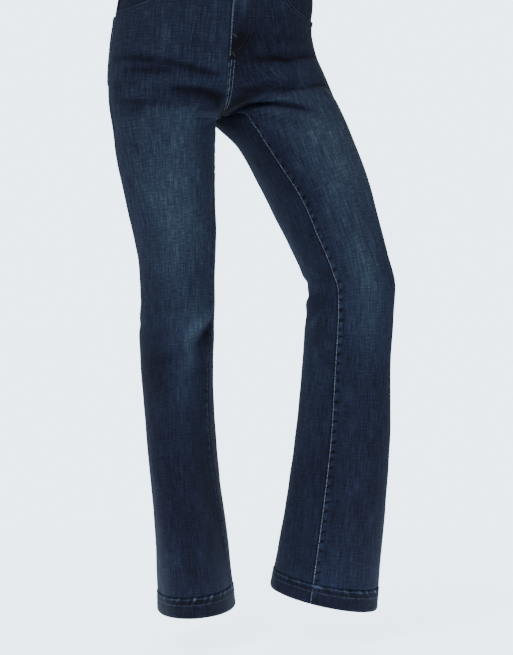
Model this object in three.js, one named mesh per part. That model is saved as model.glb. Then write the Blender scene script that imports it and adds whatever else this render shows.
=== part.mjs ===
// Flared jeans in a standing pose: hollow legs, waistband, yokes, pockets, fly and hems.
// Millimetres, +Z up, the front towards -Y. The origin is the middle of the waistband's ring.
// The wearer's right is side -1, at -X, and the left is side 1, at +X.

import * as THREE from "three";

// Driving dimensions
const DENIM = 1.4; // one layer of cloth
const FOLDED = 2.6; // cloth folded on itself, in the waistband and the hems
const SEAM_GAP = 0.3; // between two pieces that meet at a seam
const LIFT = 1.1; // between a panel's flat facets and what is sewn on it
const BAND_HEIGHT = 40;
const BAND_PROUD = 0.8; // the waistband stands this far out of the panels
const UNDERLAP = 0.09; // the share of the left half that the waistband's under end reaches
const HEM_HEIGHT = 35;
const HEM_PROUD = 0.9;
const YOKE_AT_SIDE = { [-1]: 43, [1]: 54 }; // the left hip's rows are closer together
const YOKE_AT_BACK = 76;
const SCOOP_DROP = { [-1]: 72, [1]: 88 }; // the front pocket's opening, below the waistband
const SCOOP_START = 0.17; // where the opening meets the waistband
const SCOOP_ROUND = 2.1; // 2 is a quarter ellipse
const FACING_DEPTH = { [-1]: 26, [1]: 30 }; // the pocket facing reaches this far below the opening
const FLY_LENGTH = 140;
const FLY_WIDTH = 0.08;
const POCKET_TOP = 80;
const POCKET_LENGTH = { [-1]: 103, [1]: 142 };
const POCKET_POINT = { [-1]: 16, [1]: 22 };
const POCKET_MIDDLE = 0.716;
const POCKET_WIDTH = 0.302;
const POCKET_TAPER = 0.12;
const POCKET_LIFT = { [-1]: 1.2, [1]: 2.1 }; // the back pockets bridge the hollow of the seat
const LOOP_WIDTH = 11;
const LOOP_STAND = 2.2;
const TRIM_LIFT = 0.6; // between the waistband and what is fixed to it
const BUTTON_RADIUS = 8.5;
const BUTTON_PLACE = 0.04;
const FORK = 240; // how far down the fork lies
const LEGS_APART = 340; // above this the two sides may meet
const HIP_ROWS_END = 110; // below this the panels of a side share their rows
const HIP_YAW = 14; // the hips face this far towards +X, in degrees
const SIDE_SEAM = 0.5; // across a side: 0 is the front's inner edge, 1 is the back's
const CLOTH_ACROSS = 500; // millimetres of cloth in one unit across, for the folds

const MATERIALS = {
  denim: { color: 0x2a3a50, roughness: 0.92, metalness: 0 },
  denimFolded: { color: 0x253348, roughness: 0.92, metalness: 0 },
  denimInner: { color: 0x35445c, roughness: 0.95, metalness: 0 },
  brass: { color: 0x8a6a3c, roughness: 0.42, metalness: 1 },
};

const lerp = THREE.MathUtils.lerp;
const clamp = THREE.MathUtils.clamp;
const radians = THREE.MathUtils.degToRad;
const smooth = (x) => THREE.MathUtils.smoothstep(x, 0, 1);

/** A table of sections with named columns, read between its rows along smooth curves. */
class Sections {
  constructor(names, rows) {
    this.stations = rows.map((row) => row[0]);
    this.columns = {};
    names.split(" ").forEach((name, k) => {
      const values = rows.map((row) => row[k]);
      this.columns[name] = { values, slopes: this.slopesOf(values) };
    });
  }

  slopesOf(values) {
    const step = values.slice(1).map((v, i) => this.stations[i + 1] - this.stations[i]);
    const rise = step.map((h, i) => (values[i + 1] - values[i]) / h);
    return values.map((v, i) => {
      if (i === 0) return rise[0];
      if (i === rise.length) return rise[i - 1];
      if (rise[i - 1] * rise[i] <= 0) return 0;
      const before = 2 * step[i] + step[i - 1];
      const after = step[i] + 2 * step[i - 1];
      return (before + after) / (before / rise[i - 1] + after / rise[i]);
    });
  }

  at(name, station) {
    const { values, slopes } = this.columns[name];
    const last = this.stations.length - 2;
    let i = this.stations.findLastIndex((s) => s <= station);
    i = clamp(i, 0, last);
    const h = this.stations[i + 1] - this.stations[i];
    const u = clamp((station - this.stations[i]) / h, 0, 1);
    const a = values[i] * (1 + 2 * u) * (1 - u) ** 2 + slopes[i] * h * u * (1 - u) ** 2;
    const b = values[i + 1] * u * u * (3 - 2 * u) + slopes[i + 1] * h * u * u * (u - 1);
    return a + b;
  }
}

// The hips. down is measured along the cloth from the waistband's lower edge. out is the reach
// of each side from the middle, front and back are depths, and turn is the angle from the side
// seam to the middle. lean and yaw turn a section towards its leg.
const HIP_NAMES = "down zRight zLeft middle outRight outLeft front back turn leanRight leanLeft yawLeft";
const HIP_ROWS = [
  [-40, 32, 8, 2, 139, 135, 97, 92, 90, 0, 0, 14],
  [0, -8, -32, -2, 149, 149, 103, 102, 90, 0, 0, 14],
  [40, -50, -66, -8, 161, 161, 110, 113, 92, 0, 0, 14],
  [80, -92, -99, -12, 165, 162, 113, 124, 96, 0, 0.02, 14],
  [120, -135, -130, -14, 170, 163, 112, 131, 102, 0, 0.08, 15],
  [160, -177, -161, -15, 173, 170, 109, 131, 112, 0, 0.18, 16],
  [200, -219, -190, -13.5, 175, 179, 103, 122, 130, -0.04, 0.3, 19],
  [240, -258, -222, -11.5, 172, 196, 95, 106, 180, -0.08, 0.4, 26],
];

// The seam over the fork, from the waistband at the front and at the back to the fork.
const MIDDLE_SEAM = new Sections("down yFront zFront yBack zBack", [
  [-40, -97, 19, 92, 25],
  [0, -103, -22, 101, -15],
  [40, -110, -60, 112, -60],
  [80, -112, -100, 122, -104],
  [120, -109, -141, 124, -148],
  [160, -99, -183, 112, -192],
  [200, -76, -224, 82, -230],
  [225, -40, -249, 40, -250],
  [240, 4, -259, 4, -259],
]);

// The legs. x, y and z are a section's middle, yaw turns it about the leg, and slopeX and
// slopeY are how far the leg runs sideways for each millimetre down.
const LEG_NAMES = "down x y z wide front back yaw slopeX slopeY";
const LEG_ROWS = {
  [-1]: [
    [290, -93.5, -16, -309, 81.5, 88, 92, 8, 0.1, 0],
    [340, -88.5, -18, -358, 76.5, 82, 86, 0, 0.12, 0],
    [390, -82.5, -20, -408, 71, 76, 80, -6, 0.12, 0],
    [440, -76.5, -22, -457, 66, 71, 73, -12, 0.09, 0],
    [490, -74.5, -23, -507, 61.5, 67, 67, -17, 0.02, 0],
    [540, -74, -23, -556, 60.5, 66, 64, -21, -0.02, 0.03],
    [590, -76, -20, -606, 61, 64, 66, -24, -0.02, 0.06],
    [640, -76, -16, -655, 58.5, 64, 68, -26, 0.03, 0.07],
    [740, -71, -9, -754, 53.5, 68, 72, -27, 0.07, 0.07],
    [840, -62.5, -3, -853, 52.5, 77, 79, -22, 0.1, 0.06],
    [940, -52.5, 3, -952, 57.5, 87, 87, -14, 0.08, 0.06],
    [1056, -44.5, 8, -1067, 64, 95, 94, -6, 0.03, 0.05],
  ],
  [1]: [
    [300, 108.5, 20, -272, 86, 94, 96, 42, 0.4, -0.13],
    [360, 136.5, 12, -328, 79, 90, 92, 52, 0.42, -0.13],
    [420, 161, 4, -384, 70, 87, 89, 58, 0.41, -0.13],
    [480, 181.5, -4, -440, 62, 81, 81, 61, 0.37, -0.12],
    [540, 201, -10, -498, 56, 76, 76, 63, 0.24, -0.05],
    [580, 210, -12, -537, 53, 77, 75, 64, 0.08, 0.02],
    [630, 208, -9, -587, 51, 75.5, 75.5, 65, -0.04, 0.08],
    [690, 204.5, -3, -646, 50, 76, 76, 65, -0.06, 0.1],
    [810, 198, 9, -764, 51, 81.5, 81.5, 66, -0.08, 0.1],
    [930, 187, 21, -883, 56, 86, 86, 67, -0.1, 0.1],
    [1050, 173.5, 33, -1001, 63, 90.5, 90.5, 68, -0.13, 0.1],
    [1106, 167.5, 38, -1056, 66, 94, 94, 68, -0.17, 0.1],
  ],
};
const HEM_END = { [-1]: 1056, [1]: 1106 };

// The largest folds, each along a line on the cloth. A negative depth is a trough.
const FOLD_NAMES = "side down1 across1 down2 across2 width depth";
const FOLD_ROWS = [
  [-1, 142, 0.36, 168, 0.03, 10, -3],
  [-1, 163, 0.38, 164, 0.2, 8, -2],
  [-1, 191, 0.24, 198, 0.02, 10, -4.5],
  [-1, 209, 0.42, 207, 0.12, 10, -2.5],
  [-1, 262, 0.66, 248, 0.9, 12, -4],
  [-1, 290, 0.62, 276, 0.86, 12, -2.5],
  [-1, 557, -0.02, 594, 0.2, 13, 3.5],
  [-1, 598, -0.03, 612, 0.12, 10, -4],
  [-1, 560, 0.64, 574, 0.86, 11, -5],
  [-1, 592, 0.62, 588, 0.88, 10, -4],
  [-1, 622, 0.66, 610, 0.84, 12, -3],
  [1, 150, 0.1, 196, 0.38, 11, -3],
  [1, 206, 0.08, 252, 0.32, 11, -3.5],
  [1, 226, 0.06, 296, 0.24, 12, -5.5],
  [1, 272, 0.64, 252, 0.9, 12, -4],
  [1, 306, 0.6, 284, 0.84, 12, -2.5],
  [1, 598, 0.7, 574, 0.96, 10, -2.8],
  [1, 616, 0.68, 597, 0.92, 10, 1.8],
  [1, 640, 0.68, 616, 0.9, 10, -1.2],
  [1, 658, 0.8, 610, 0.98, 9, 1.5],
  [1, 566, 0.62, 556, 0.86, 12, -4],
];

const FOLDS = FOLD_ROWS.map((row) => Object.fromEntries(FOLD_NAMES.split(" ").map((name, k) => [name, row[k]])));

/** A side's sections from the waistband to the hem, hips and leg in one table. */
function sideSections(side) {
  const hips = new Sections(HIP_NAMES, HIP_ROWS);
  const yaw = radians(HIP_YAW);
  const rows = HIP_ROWS.map(([down]) => {
    const own = (name) => hips.at(name + (side < 0 ? "Right" : "Left"), down);
    const share = -Math.cos(radians(hips.at("turn", down)));
    const wide = own("out") / (1 + share);
    const reach = (side * wide * share * Math.cos(yaw)) / Math.hypot(1, own("lean"));
    const x = hips.at("middle", down) + reach;
    const y = side * wide * share * Math.sin(yaw);
    const turned = side < 0 ? HIP_YAW : hips.at("yawLeft", down);
    const depths = [hips.at("front", down), hips.at("back", down)];
    return [down, x, y, own("z"), wide, ...depths, turned, side * own("lean"), 0, hips.at("turn", down)];
  });
  const leg = LEG_ROWS[side].map((row) => [...row, 180]);
  return new Sections(LEG_NAMES + " turn", [...rows, ...leg]);
}

const SIDES = { [-1]: sideSections(-1), [1]: sideSections(1) };
const LATERAL = new THREE.Vector3(Math.cos(radians(HIP_YAW)), Math.sin(radians(HIP_YAW)), 0);

// The plane between the sides: where it stands at each depth below the origin.
const MIDDLE_LINE = new Sections("depth x", [
  [-25, 2],
  [22, -2],
  [60, -8],
  [100, -12],
  [141, -14],
  [183, -15],
  [224, -13.2],
  [259, -11.5],
]);

// How far the left inseam lies in front of the thigh's inner edge, as a share across.
const INSEAM_SHIFT = new Sections("down shift", [
  [240, 0],
  [252, 0.07],
  [270, 0.08],
  [285, 0.055],
  [300, 0.036],
  [320, 0.025],
  [360, 0.015],
  [430, 0.008],
  [480, 0],
]);

/** The middle seam's point at the front or the back. */
function middlePoint(down, atFront) {
  const y = MIDDLE_SEAM.at(atFront ? "yFront" : "yBack", down);
  const z = MIDDLE_SEAM.at(atFront ? "zFront" : "zBack", down);
  return new THREE.Vector3(MIDDLE_LINE.at("x", -z) - LATERAL.y * y, LATERAL.x * y, z);
}

/** Keeps a point of one side clear of the plane between the sides. */
function keepToSide(point, side, clearance) {
  const from = point.clone().sub(new THREE.Vector3(MIDDLE_LINE.at("x", -point.z), 0, 0));
  const short = Math.max(0, clearance - side * from.dot(LATERAL));
  return point.addScaledVector(LATERAL, side * short);
}

/** A point of the smooth form, before its folds. */
function formPoint(side, down, across) {
  const at = (name) => SIDES[side].at(name, down);
  const yaw = radians(at("yaw"));
  const along = new THREE.Vector3(at("slopeX"), at("slopeY"), -1).normalize();
  const back = new THREE.Vector3(-Math.sin(yaw), Math.cos(yaw), 0);
  back.addScaledVector(along, -back.dot(along)).normalize();
  const outward = new THREE.Vector3().crossVectors(along, back);
  outward.multiplyScalar(side * Math.sign(outward.dot(LATERAL)));
  const centre = new THREE.Vector3(at("x"), at("y"), at("z"));
  const turn = radians(at("turn"));
  const ring = (angle, depth) =>
    centre
      .clone()
      .addScaledVector(outward, at("wide") * Math.cos(angle))
      .addScaledVector(back, depth * Math.sin(angle));
  const atFront = across < SIDE_SEAM;
  const depth = at(atFront ? "front" : "back");
  const point = ring((across - SIDE_SEAM) * 2 * turn, depth);
  const share = smooth((Math.abs(across - SIDE_SEAM) * 2 - 0.35) / 0.65);
  const pull = share * smooth((FORK + 60 - down) / 60);
  const end = ring(atFront ? -turn : turn, depth);
  return point.addScaledVector(middlePoint(down, atFront).sub(end), pull);
}

/** The form's outward normal. */
function formNormal(side, down, across) {
  const step = 0.002;
  const low = Math.max(across - step, 0);
  const high = Math.min(across + step, 1);
  const over = formPoint(side, down, high).sub(formPoint(side, down, low));
  const top = clamp(down - 1, -BAND_HEIGHT, HEM_END[side] - 2);
  const under = formPoint(side, top + 2, across).sub(formPoint(side, top, across));
  return under.cross(over).multiplyScalar(side).normalize();
}

/** How far the folds move the cloth out at a place. */
function foldDepth(side, down, across) {
  const edge = Math.min(across, 1 - across);
  const hold = down < FORK ? smooth(edge / 0.04) : 1;
  let depth = 0;
  for (const fold of FOLDS.filter((each) => each.side === side)) {
    const reach = fold.across2 - fold.across1;
    let start = across - fold.across1;
    if (down > FORK) start -= Math.round(start - reach / 2);
    const px = start * CLOTH_ACROSS;
    const py = down - fold.down1;
    const lx = reach * CLOTH_ACROSS;
    const ly = fold.down2 - fold.down1;
    const u = clamp((px * lx + py * ly) / (lx * lx + ly * ly), 0, 1);
    const away = Math.hypot(px - u * lx, py - u * ly) / fold.width;
    depth += fold.depth * Math.exp(-away * away) * Math.sin(Math.PI * lerp(0.12, 0.88, u));
  }
  return depth * hold;
}

/** Where a place of the cloth lies on the form. Below the fork the left inseam turns to the front. */
function placeOnForm(side, down, across) {
  if (side < 0) return across;
  const shifted = across + INSEAM_SHIFT.at("shift", down) * (2 * across - 1) ** 2;
  return shifted > 1 ? shifted - 1 : shifted;
}

/** A point of the cloth, moved out from the panels' outer face. */
function clothPoint(side, down, across, out) {
  const place = placeOnForm(side, down, across);
  const normal = formNormal(side, down, place);
  const point = formPoint(side, down, place);
  point.addScaledVector(normal, foldDepth(side, down, place) + out);
  return down < LEGS_APART ? keepToSide(point, side, SEAM_GAP / 2 + Math.max(0, -out)) : point;
}

/** A closed body between an outer and an inner grid of points, flat or round a ring. */
function wallGeometry(outer, inner, ring) {
  const rows = outer.length;
  const count = outer[0].length;
  const points = [...outer.flat(), ...inner.flat()];
  const half = rows * count;
  const triangles = [];
  const quad = (a, b, c, d) => triangles.push(a, b, c, a, c, d);
  const at = (i, j) => i * count + (j % count);
  const steps = ring ? count : count - 1;
  for (let i = 0; i < rows - 1; i++) {
    for (let j = 0; j < steps; j++) {
      quad(at(i, j), at(i, j + 1), at(i + 1, j + 1), at(i + 1, j));
      quad(half + at(i, j), half + at(i + 1, j), half + at(i + 1, j + 1), half + at(i, j + 1));
    }
  }
  for (let j = 0; j < steps; j++) {
    quad(half + at(0, j), half + at(0, j + 1), at(0, j + 1), at(0, j));
    quad(at(rows - 1, j), at(rows - 1, j + 1), half + at(rows - 1, j + 1), half + at(rows - 1, j));
  }
  for (let i = 0; i < rows - 1 && !ring; i++) {
    quad(at(i, 0), at(i + 1, 0), half + at(i + 1, 0), half + at(i, 0));
    quad(half + at(i, steps), half + at(i + 1, steps), at(i + 1, steps), at(i, steps));
  }
  const volume = (a, b, c) => points[a].dot(new THREE.Vector3().crossVectors(points[b], points[c]));
  let total = 0;
  for (let k = 0; k < triangles.length; k += 3) total += volume(...triangles.slice(k, k + 3));
  if (total < 0) triangles.reverse();
  const geometry = new THREE.BufferGeometry();
  geometry.setAttribute("position", new THREE.Float32BufferAttribute(points.flatMap((p) => p.toArray()), 3));
  geometry.setIndex(triangles);
  geometry.computeVertexNormals();
  return geometry;
}

/** Draws a grid's outer rows and columns in by half a seam gap. */
function drawIn(grid, ring) {
  const last = grid.length - 1;
  const draw = (edge, next) => edge.addScaledVector(next.clone().sub(edge).normalize(), SEAM_GAP / 2);
  grid[0].forEach((point, j) => draw(point, grid[1][j]));
  grid[last].forEach((point, j) => draw(point, grid[last - 1][j]));
  if (ring) return;
  for (const [edge, next] of [[0, 1], [grid[0].length - 1, grid[0].length - 2]]) {
    const along = grid.map((_, i) => grid[Math.min(i + 1, last)][edge].clone().sub(grid[Math.max(i - 1, 0)][edge]).normalize());
    grid.forEach((row, i) => {
      const inward = row[next].clone().sub(row[edge]);
      inward.addScaledVector(along[i], -inward.dot(along[i])).normalize();
      row[edge].addScaledVector(inward, SEAM_GAP / 2);
    });
  }
}

/** One piece of cloth: where its grid lies on the form, and how far out each face is. */
function clothMesh(name, material, { side, across, along, place, outer = 0, thick = DENIM, ring = false }) {
  const faces = [outer, outer - thick].map((out) =>
    along.map((b) => across.map((a) => clothPoint(side, ...place(a, b), out))),
  );
  faces.forEach((face) => drawIn(face, ring));
  return namedMesh(name, wallGeometry(...faces, ring), material);
}

function namedMesh(name, geometry, material) {
  const mesh = new THREE.Mesh(geometry, new THREE.MeshStandardMaterial(MATERIALS[material]));
  mesh.name = name;
  return mesh;
}

/** Even steps from 0 to 1. */
const steps = (count) => Array.from({ length: count + 1 }, (_, i) => i / count);

/** Rows down a side, closer together where the cloth folds. */
function sideRows(end) {
  const rows = [];
  let down = 0;
  while (down < end - 24) {
    rows.push(down);
    const atKnee = down > 530 && down < 665;
    if (down < 300) down += 15;
    else down += atKnee ? 15 : 36;
  }
  return [...rows, end];
}

const yokeLine = (side, across) => lerp(YOKE_AT_SIDE[side], YOKE_AT_BACK, (across - SIDE_SEAM) * 2);

/** The front pocket's opening: how far below the waistband the front panel starts. */
function scoopLine(side, across) {
  const u = clamp((across - SCOOP_START) / (SIDE_SEAM - SCOOP_START), 0, 1);
  return SCOOP_DROP[side] * (1 - (1 - u) ** SCOOP_ROUND) ** (1 / SCOOP_ROUND);
}

/** A panel from its top line to the top of the hem. */
function panel(name, side, across, topLine) {
  const along = sideRows(HEM_END[side] - HEM_HEIGHT);
  const hip = (a, row) => lerp(topLine(side, a), HIP_ROWS_END, row / HIP_ROWS_END);
  const place = (a, row) => [row < HIP_ROWS_END ? hip(a, row) : row, a];
  return clothMesh(name, "denim", { side, across, along, place });
}

function frontPanel(name, side) {
  const across = [0, 0.035, 0.08, 0.125, 0.17, 0.185, 0.21, 0.25, 0.3, 0.355, 0.41, 0.455, 0.5];
  return panel(name, side, across, scoopLine);
}

function backPanel(name, side) {
  const across = [0.5, 0.545, 0.59, 0.635, 0.68, 0.725, 0.77, 0.815, 0.86, 0.9, 0.935, 0.965, 1];
  return panel(name, side, across, yokeLine);
}

function yoke(name, side) {
  const place = (a, b) => [yokeLine(side, a) * b, a];
  const across = steps(10).map((a) => lerp(SIDE_SEAM, 1, a));
  return clothMesh(name, "denim", { side, across, along: steps(3), place });
}

/** The cloth seen inside a front pocket's opening, behind the front panel. */
function pocketFacing(name, side) {
  const start = SCOOP_START - 0.03;
  const place = (a, b) => [(scoopLine(side, a) + FACING_DEPTH[side]) * b, a];
  const across = steps(8).map((a) => lerp(start, SIDE_SEAM, a));
  const outer = -DENIM - LIFT;
  return clothMesh(name, "denimInner", { side, across, along: steps(5), place, outer, thick: 1 });
}

/** The fly's lap on the left front, with its curved lower end. */
function fly(name) {
  const place = (a, b) => {
    const bend = clamp((b - 0.68) / 0.32, 0, 1);
    return [FLY_LENGTH * b, a * FLY_WIDTH * Math.sqrt(1 - 0.985 * bend * bend)];
  };
  const along = [0, 0.12, 0.24, 0.36, 0.48, 0.6, 0.68, 0.78, 0.86, 0.92, 0.96, 0.985, 1];
  return clothMesh(name, "denim", { side: 1, across: steps(4), along, place, outer: LIFT + DENIM });
}

/** A back pocket with a pointed lower edge. */
function backPocket(name, side) {
  const place = (a, b) => {
    const length = POCKET_LENGTH[side] + POCKET_POINT[side] * (1 - Math.abs(2 * a - 1));
    return [POCKET_TOP + length * b, POCKET_MIDDLE + (a - 0.5) * POCKET_WIDTH * (1 - POCKET_TAPER * b)];
  };
  return clothMesh(name, "denim", { side, across: steps(8), along: steps(11), place, outer: POCKET_LIFT[side] + DENIM });
}

/** A hem's folded band, all round the leg. */
function hem(name, side) {
  const end = HEM_END[side];
  const place = (a, b) => [end - HEM_HEIGHT * (1 - b), a];
  const across = steps(44).slice(0, -1);
  const shape = { outer: HEM_PROUD, thick: FOLDED, ring: true };
  return clothMesh(name, "denimFolded", { side, across, along: steps(3), place, ...shape });
}

/** A point round the waistband. turn runs from the front middle over the left side, 0 to 2. */
function waistPoint(turn, down, out) {
  return turn <= 1 ? clothPoint(1, down, turn, out) : clothPoint(-1, down, 2 - turn, out);
}

/** The waistband, a strip whose under end passes behind its own start. */
function waistband(name) {
  const turns = steps(38).map((a) => a * 2);
  const under = [0.03, 0.06, UNDERLAP];
  const tuck = (a) => -(FOLDED + LIFT) * smooth((a - 1.93) / 0.06);
  const grid = (out) =>
    steps(3).map((b) => {
      const down = -BAND_HEIGHT * (1 - b);
      const round = turns.map((a) => waistPoint(a, down, out + tuck(a)));
      return [...round, ...under.map((a) => clothPoint(1, down, a, out + tuck(2)))];
    });
  const faces = [BAND_PROUD, BAND_PROUD - FOLDED].map(grid);
  faces.forEach((face) => drawIn(face, false));
  return namedMesh(name, wallGeometry(...faces, false), "denimFolded");
}

/** A belt loop over the waistband, sewn down above and below it. */
function beltLoop(name, turn) {
  const foot = BAND_PROUD + TRIM_LIFT;
  const profile = [
    [-BAND_HEIGHT + 1, foot],
    [-BAND_HEIGHT + 5, foot],
    [-BAND_HEIGHT + 9, foot + LOOP_STAND],
    [-8, foot + LOOP_STAND],
    [-1, foot + 0.4],
    [4, foot],
    [9, foot],
  ];
  const half = LOOP_WIDTH / 2 / 400;
  const grid = (rise) =>
    profile.map(([down, out]) => [turn - half, turn, turn + half].map((a) => waistPoint(a, down, out + rise)));
  return namedMesh(name, wallGeometry(grid(DENIM), grid(0), false), "denimFolded");
}

/** The waistband's button: a domed face with a rim, on a short neck. */
function button(name) {
  const profile = [
    [0, 0],
    [4, 0],
    [4, 1.6],
    [BUTTON_RADIUS, 1.8],
    [BUTTON_RADIUS, 3],
    [BUTTON_RADIUS - 1.2, 3.7],
    [BUTTON_RADIUS - 2.4, 3.2],
    [3, 3.6],
    [0, 3.8],
  ];
  const geometry = new THREE.LatheGeometry(profile.map(([r, y]) => new THREE.Vector2(r, y)), 28);
  const mesh = namedMesh(name, geometry, "brass");
  const down = -BAND_HEIGHT / 2;
  mesh.position.copy(clothPoint(1, down, BUTTON_PLACE, BAND_PROUD + TRIM_LIFT));
  mesh.quaternion.setFromUnitVectors(new THREE.Vector3(0, 1, 0), formNormal(1, down, BUTTON_PLACE));
  return mesh;
}

/** What each side has of its own. */
function sidePieces(side, word) {
  const group = new THREE.Group();
  group.add(
    frontPanel(`front_${word}`, side),
    backPanel(`back_${word}`, side),
    yoke(`yoke_${word}`, side),
    pocketFacing(`pocket_facing_${word}`, side),
    backPocket(`back_pocket_${word}`, side),
    hem(`hem_${word}`, side),
  );
  return group;
}

function waistPieces() {
  const group = new THREE.Group();
  group.add(waistband("waistband"), fly("fly"), button("button"));
  const places = { front_left: 0.3, side_left: 0.66, back: 1, side_right: 1.34, front_right: 1.7 };
  for (const [place, turn] of Object.entries(places)) group.add(beltLoop(`belt_loop_${place}`, turn));
  return group;
}

const jeans = new THREE.Group();
jeans.add(sidePieces(-1, "right"), sidePieces(1, "left"), waistPieces());

export default jeans;
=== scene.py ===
"""Flared jeans, worn and standing: a Blender add-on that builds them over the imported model.

The cloth follows one form. A place on it is a side (-1 is the wearer's right, 1 the left), how far down the
cloth it lies from the waistband's lower edge, and how far across the side: 0 is the front's inner edge, 0.5
the side seam and 1 the back's inner edge. The form's tables are in millimetres, and the meshes in metres.
"""

import math

import bmesh
import bpy
import numpy as np
from bpy.props import FloatProperty, PointerProperty
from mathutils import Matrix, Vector


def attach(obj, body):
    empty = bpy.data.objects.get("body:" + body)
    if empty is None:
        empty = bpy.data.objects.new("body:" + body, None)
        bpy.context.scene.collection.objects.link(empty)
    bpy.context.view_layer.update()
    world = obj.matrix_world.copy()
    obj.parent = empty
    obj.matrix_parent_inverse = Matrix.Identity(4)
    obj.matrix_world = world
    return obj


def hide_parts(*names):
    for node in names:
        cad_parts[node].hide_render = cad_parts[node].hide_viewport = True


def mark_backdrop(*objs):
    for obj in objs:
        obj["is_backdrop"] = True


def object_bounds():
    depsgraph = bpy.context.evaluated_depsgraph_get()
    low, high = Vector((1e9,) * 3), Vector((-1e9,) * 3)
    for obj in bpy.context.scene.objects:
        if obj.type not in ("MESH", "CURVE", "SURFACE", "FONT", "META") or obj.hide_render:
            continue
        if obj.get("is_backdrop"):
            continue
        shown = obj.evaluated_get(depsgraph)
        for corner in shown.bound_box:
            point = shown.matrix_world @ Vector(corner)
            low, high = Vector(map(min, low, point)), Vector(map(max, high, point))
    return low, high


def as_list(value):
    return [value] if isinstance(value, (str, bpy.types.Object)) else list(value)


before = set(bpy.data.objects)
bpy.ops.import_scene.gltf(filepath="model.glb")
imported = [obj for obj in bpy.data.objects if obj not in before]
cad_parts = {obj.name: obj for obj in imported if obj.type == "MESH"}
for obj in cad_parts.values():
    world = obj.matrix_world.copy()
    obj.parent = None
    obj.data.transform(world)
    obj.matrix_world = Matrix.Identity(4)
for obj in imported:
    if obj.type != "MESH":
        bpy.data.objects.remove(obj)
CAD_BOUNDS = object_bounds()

bl_info = {
    "name": "Flared Jeans",
    "version": (1, 0, 0),
    "blender": (4, 5, 0),
    "location": "3D View > Sidebar > Jeans",
    "description": "Builds a pair of worn, flared jeans from their panels, seams and stitching",
    "category": "Object",
}

# How far each side's sheet stays from the plane between the sides, and how much of each inseam's start has no
# pale thread, in millimetres. On the left, that stretch is sewn in dark thread as painted shade of the
# crotch's fold. Then how strongly the inseams' knots show.
SIDES_APART = 0.03
SHADED_INSEAM = {-1: 4, 1: 30}
KNOTS = {-1: 0.2, 1: 0.4}

# The form's sizes, in millimetres. They repeat the CAD source's.
DENIM = 1.4
BAND_HEIGHT = 40
BAND_PROUD = 0.8
BAND_FOLD = 2.6
UNDERLAP = 0.09
HEM_HEIGHT = 35
HEM_PROUD = 0.9
TUCKED_IN = 5
YOKE_AT_SIDE = {-1: 43, 1: 54}
YOKE_AT_BACK = 76
SCOOP_DROP = {-1: 72, 1: 88}
SCOOP_START = 0.17
SCOOP_ROUND = 2.1
FACING_DEPTH = {-1: 26, 1: 30}
FLY_LENGTH = 140
FLY_WIDTH = 0.08
POCKET_TOP = 80
POCKET_LENGTH = {-1: 103, 1: 142}
POCKET_POINT = {-1: 16, 1: 22}
POCKET_MIDDLE = 0.716
POCKET_WIDTH = 0.302
POCKET_TAPER = 0.12
LOOP_WIDTH = 11
LOOP_STAND = 2.2
BUTTON_PLACE = 0.04
FORK = 240
LEGS_APART = 340
HIP_ROWS_END = 110
HIP_YAW = 14
SIDE_SEAM = 0.5
CLOTH_ACROSS = 500
MM = 0.001

HIP_NAMES = "down zRight zLeft middle outRight outLeft front back turn leanRight leanLeft yawLeft"
HIP_ROWS = (
    (-40, 32, 8, 2, 139, 135, 97, 92, 90, 0, 0, 14),
    (0, -8, -32, -2, 149, 149, 103, 102, 90, 0, 0, 14),
    (40, -50, -66, -8, 161, 161, 110, 113, 92, 0, 0, 14),
    (80, -92, -99, -12, 165, 162, 113, 124, 96, 0, 0.02, 14),
    (120, -135, -130, -14, 170, 163, 112, 131, 102, 0, 0.08, 15),
    (160, -177, -161, -15, 173, 170, 109, 131, 112, 0, 0.18, 16),
    (200, -219, -190, -13.5, 175, 179, 103, 122, 130, -0.04, 0.3, 19),
    (240, -258, -222, -11.5, 172, 196, 95, 106, 180, -0.08, 0.4, 26),
)
MIDDLE_SEAM_ROWS = (
    (-40, -97, 19, 92, 25),
    (0, -103, -22, 101, -15),
    (40, -110, -60, 112, -60),
    (80, -112, -100, 122, -104),
    (120, -109, -141, 124, -148),
    (160, -99, -183, 112, -192),
    (200, -76, -224, 82, -230),
    (225, -40, -249, 40, -250),
    (240, 4, -259, 4, -259),
)
MIDDLE_LINE_ROWS = (
    (-25, 2), (22, -2), (60, -8), (100, -12), (141, -14), (183, -15), (224, -13.2), (259, -11.5),
)  # fmt: skip
LEG_NAMES = "down x y z wide front back yaw slopeX slopeY"
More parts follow.
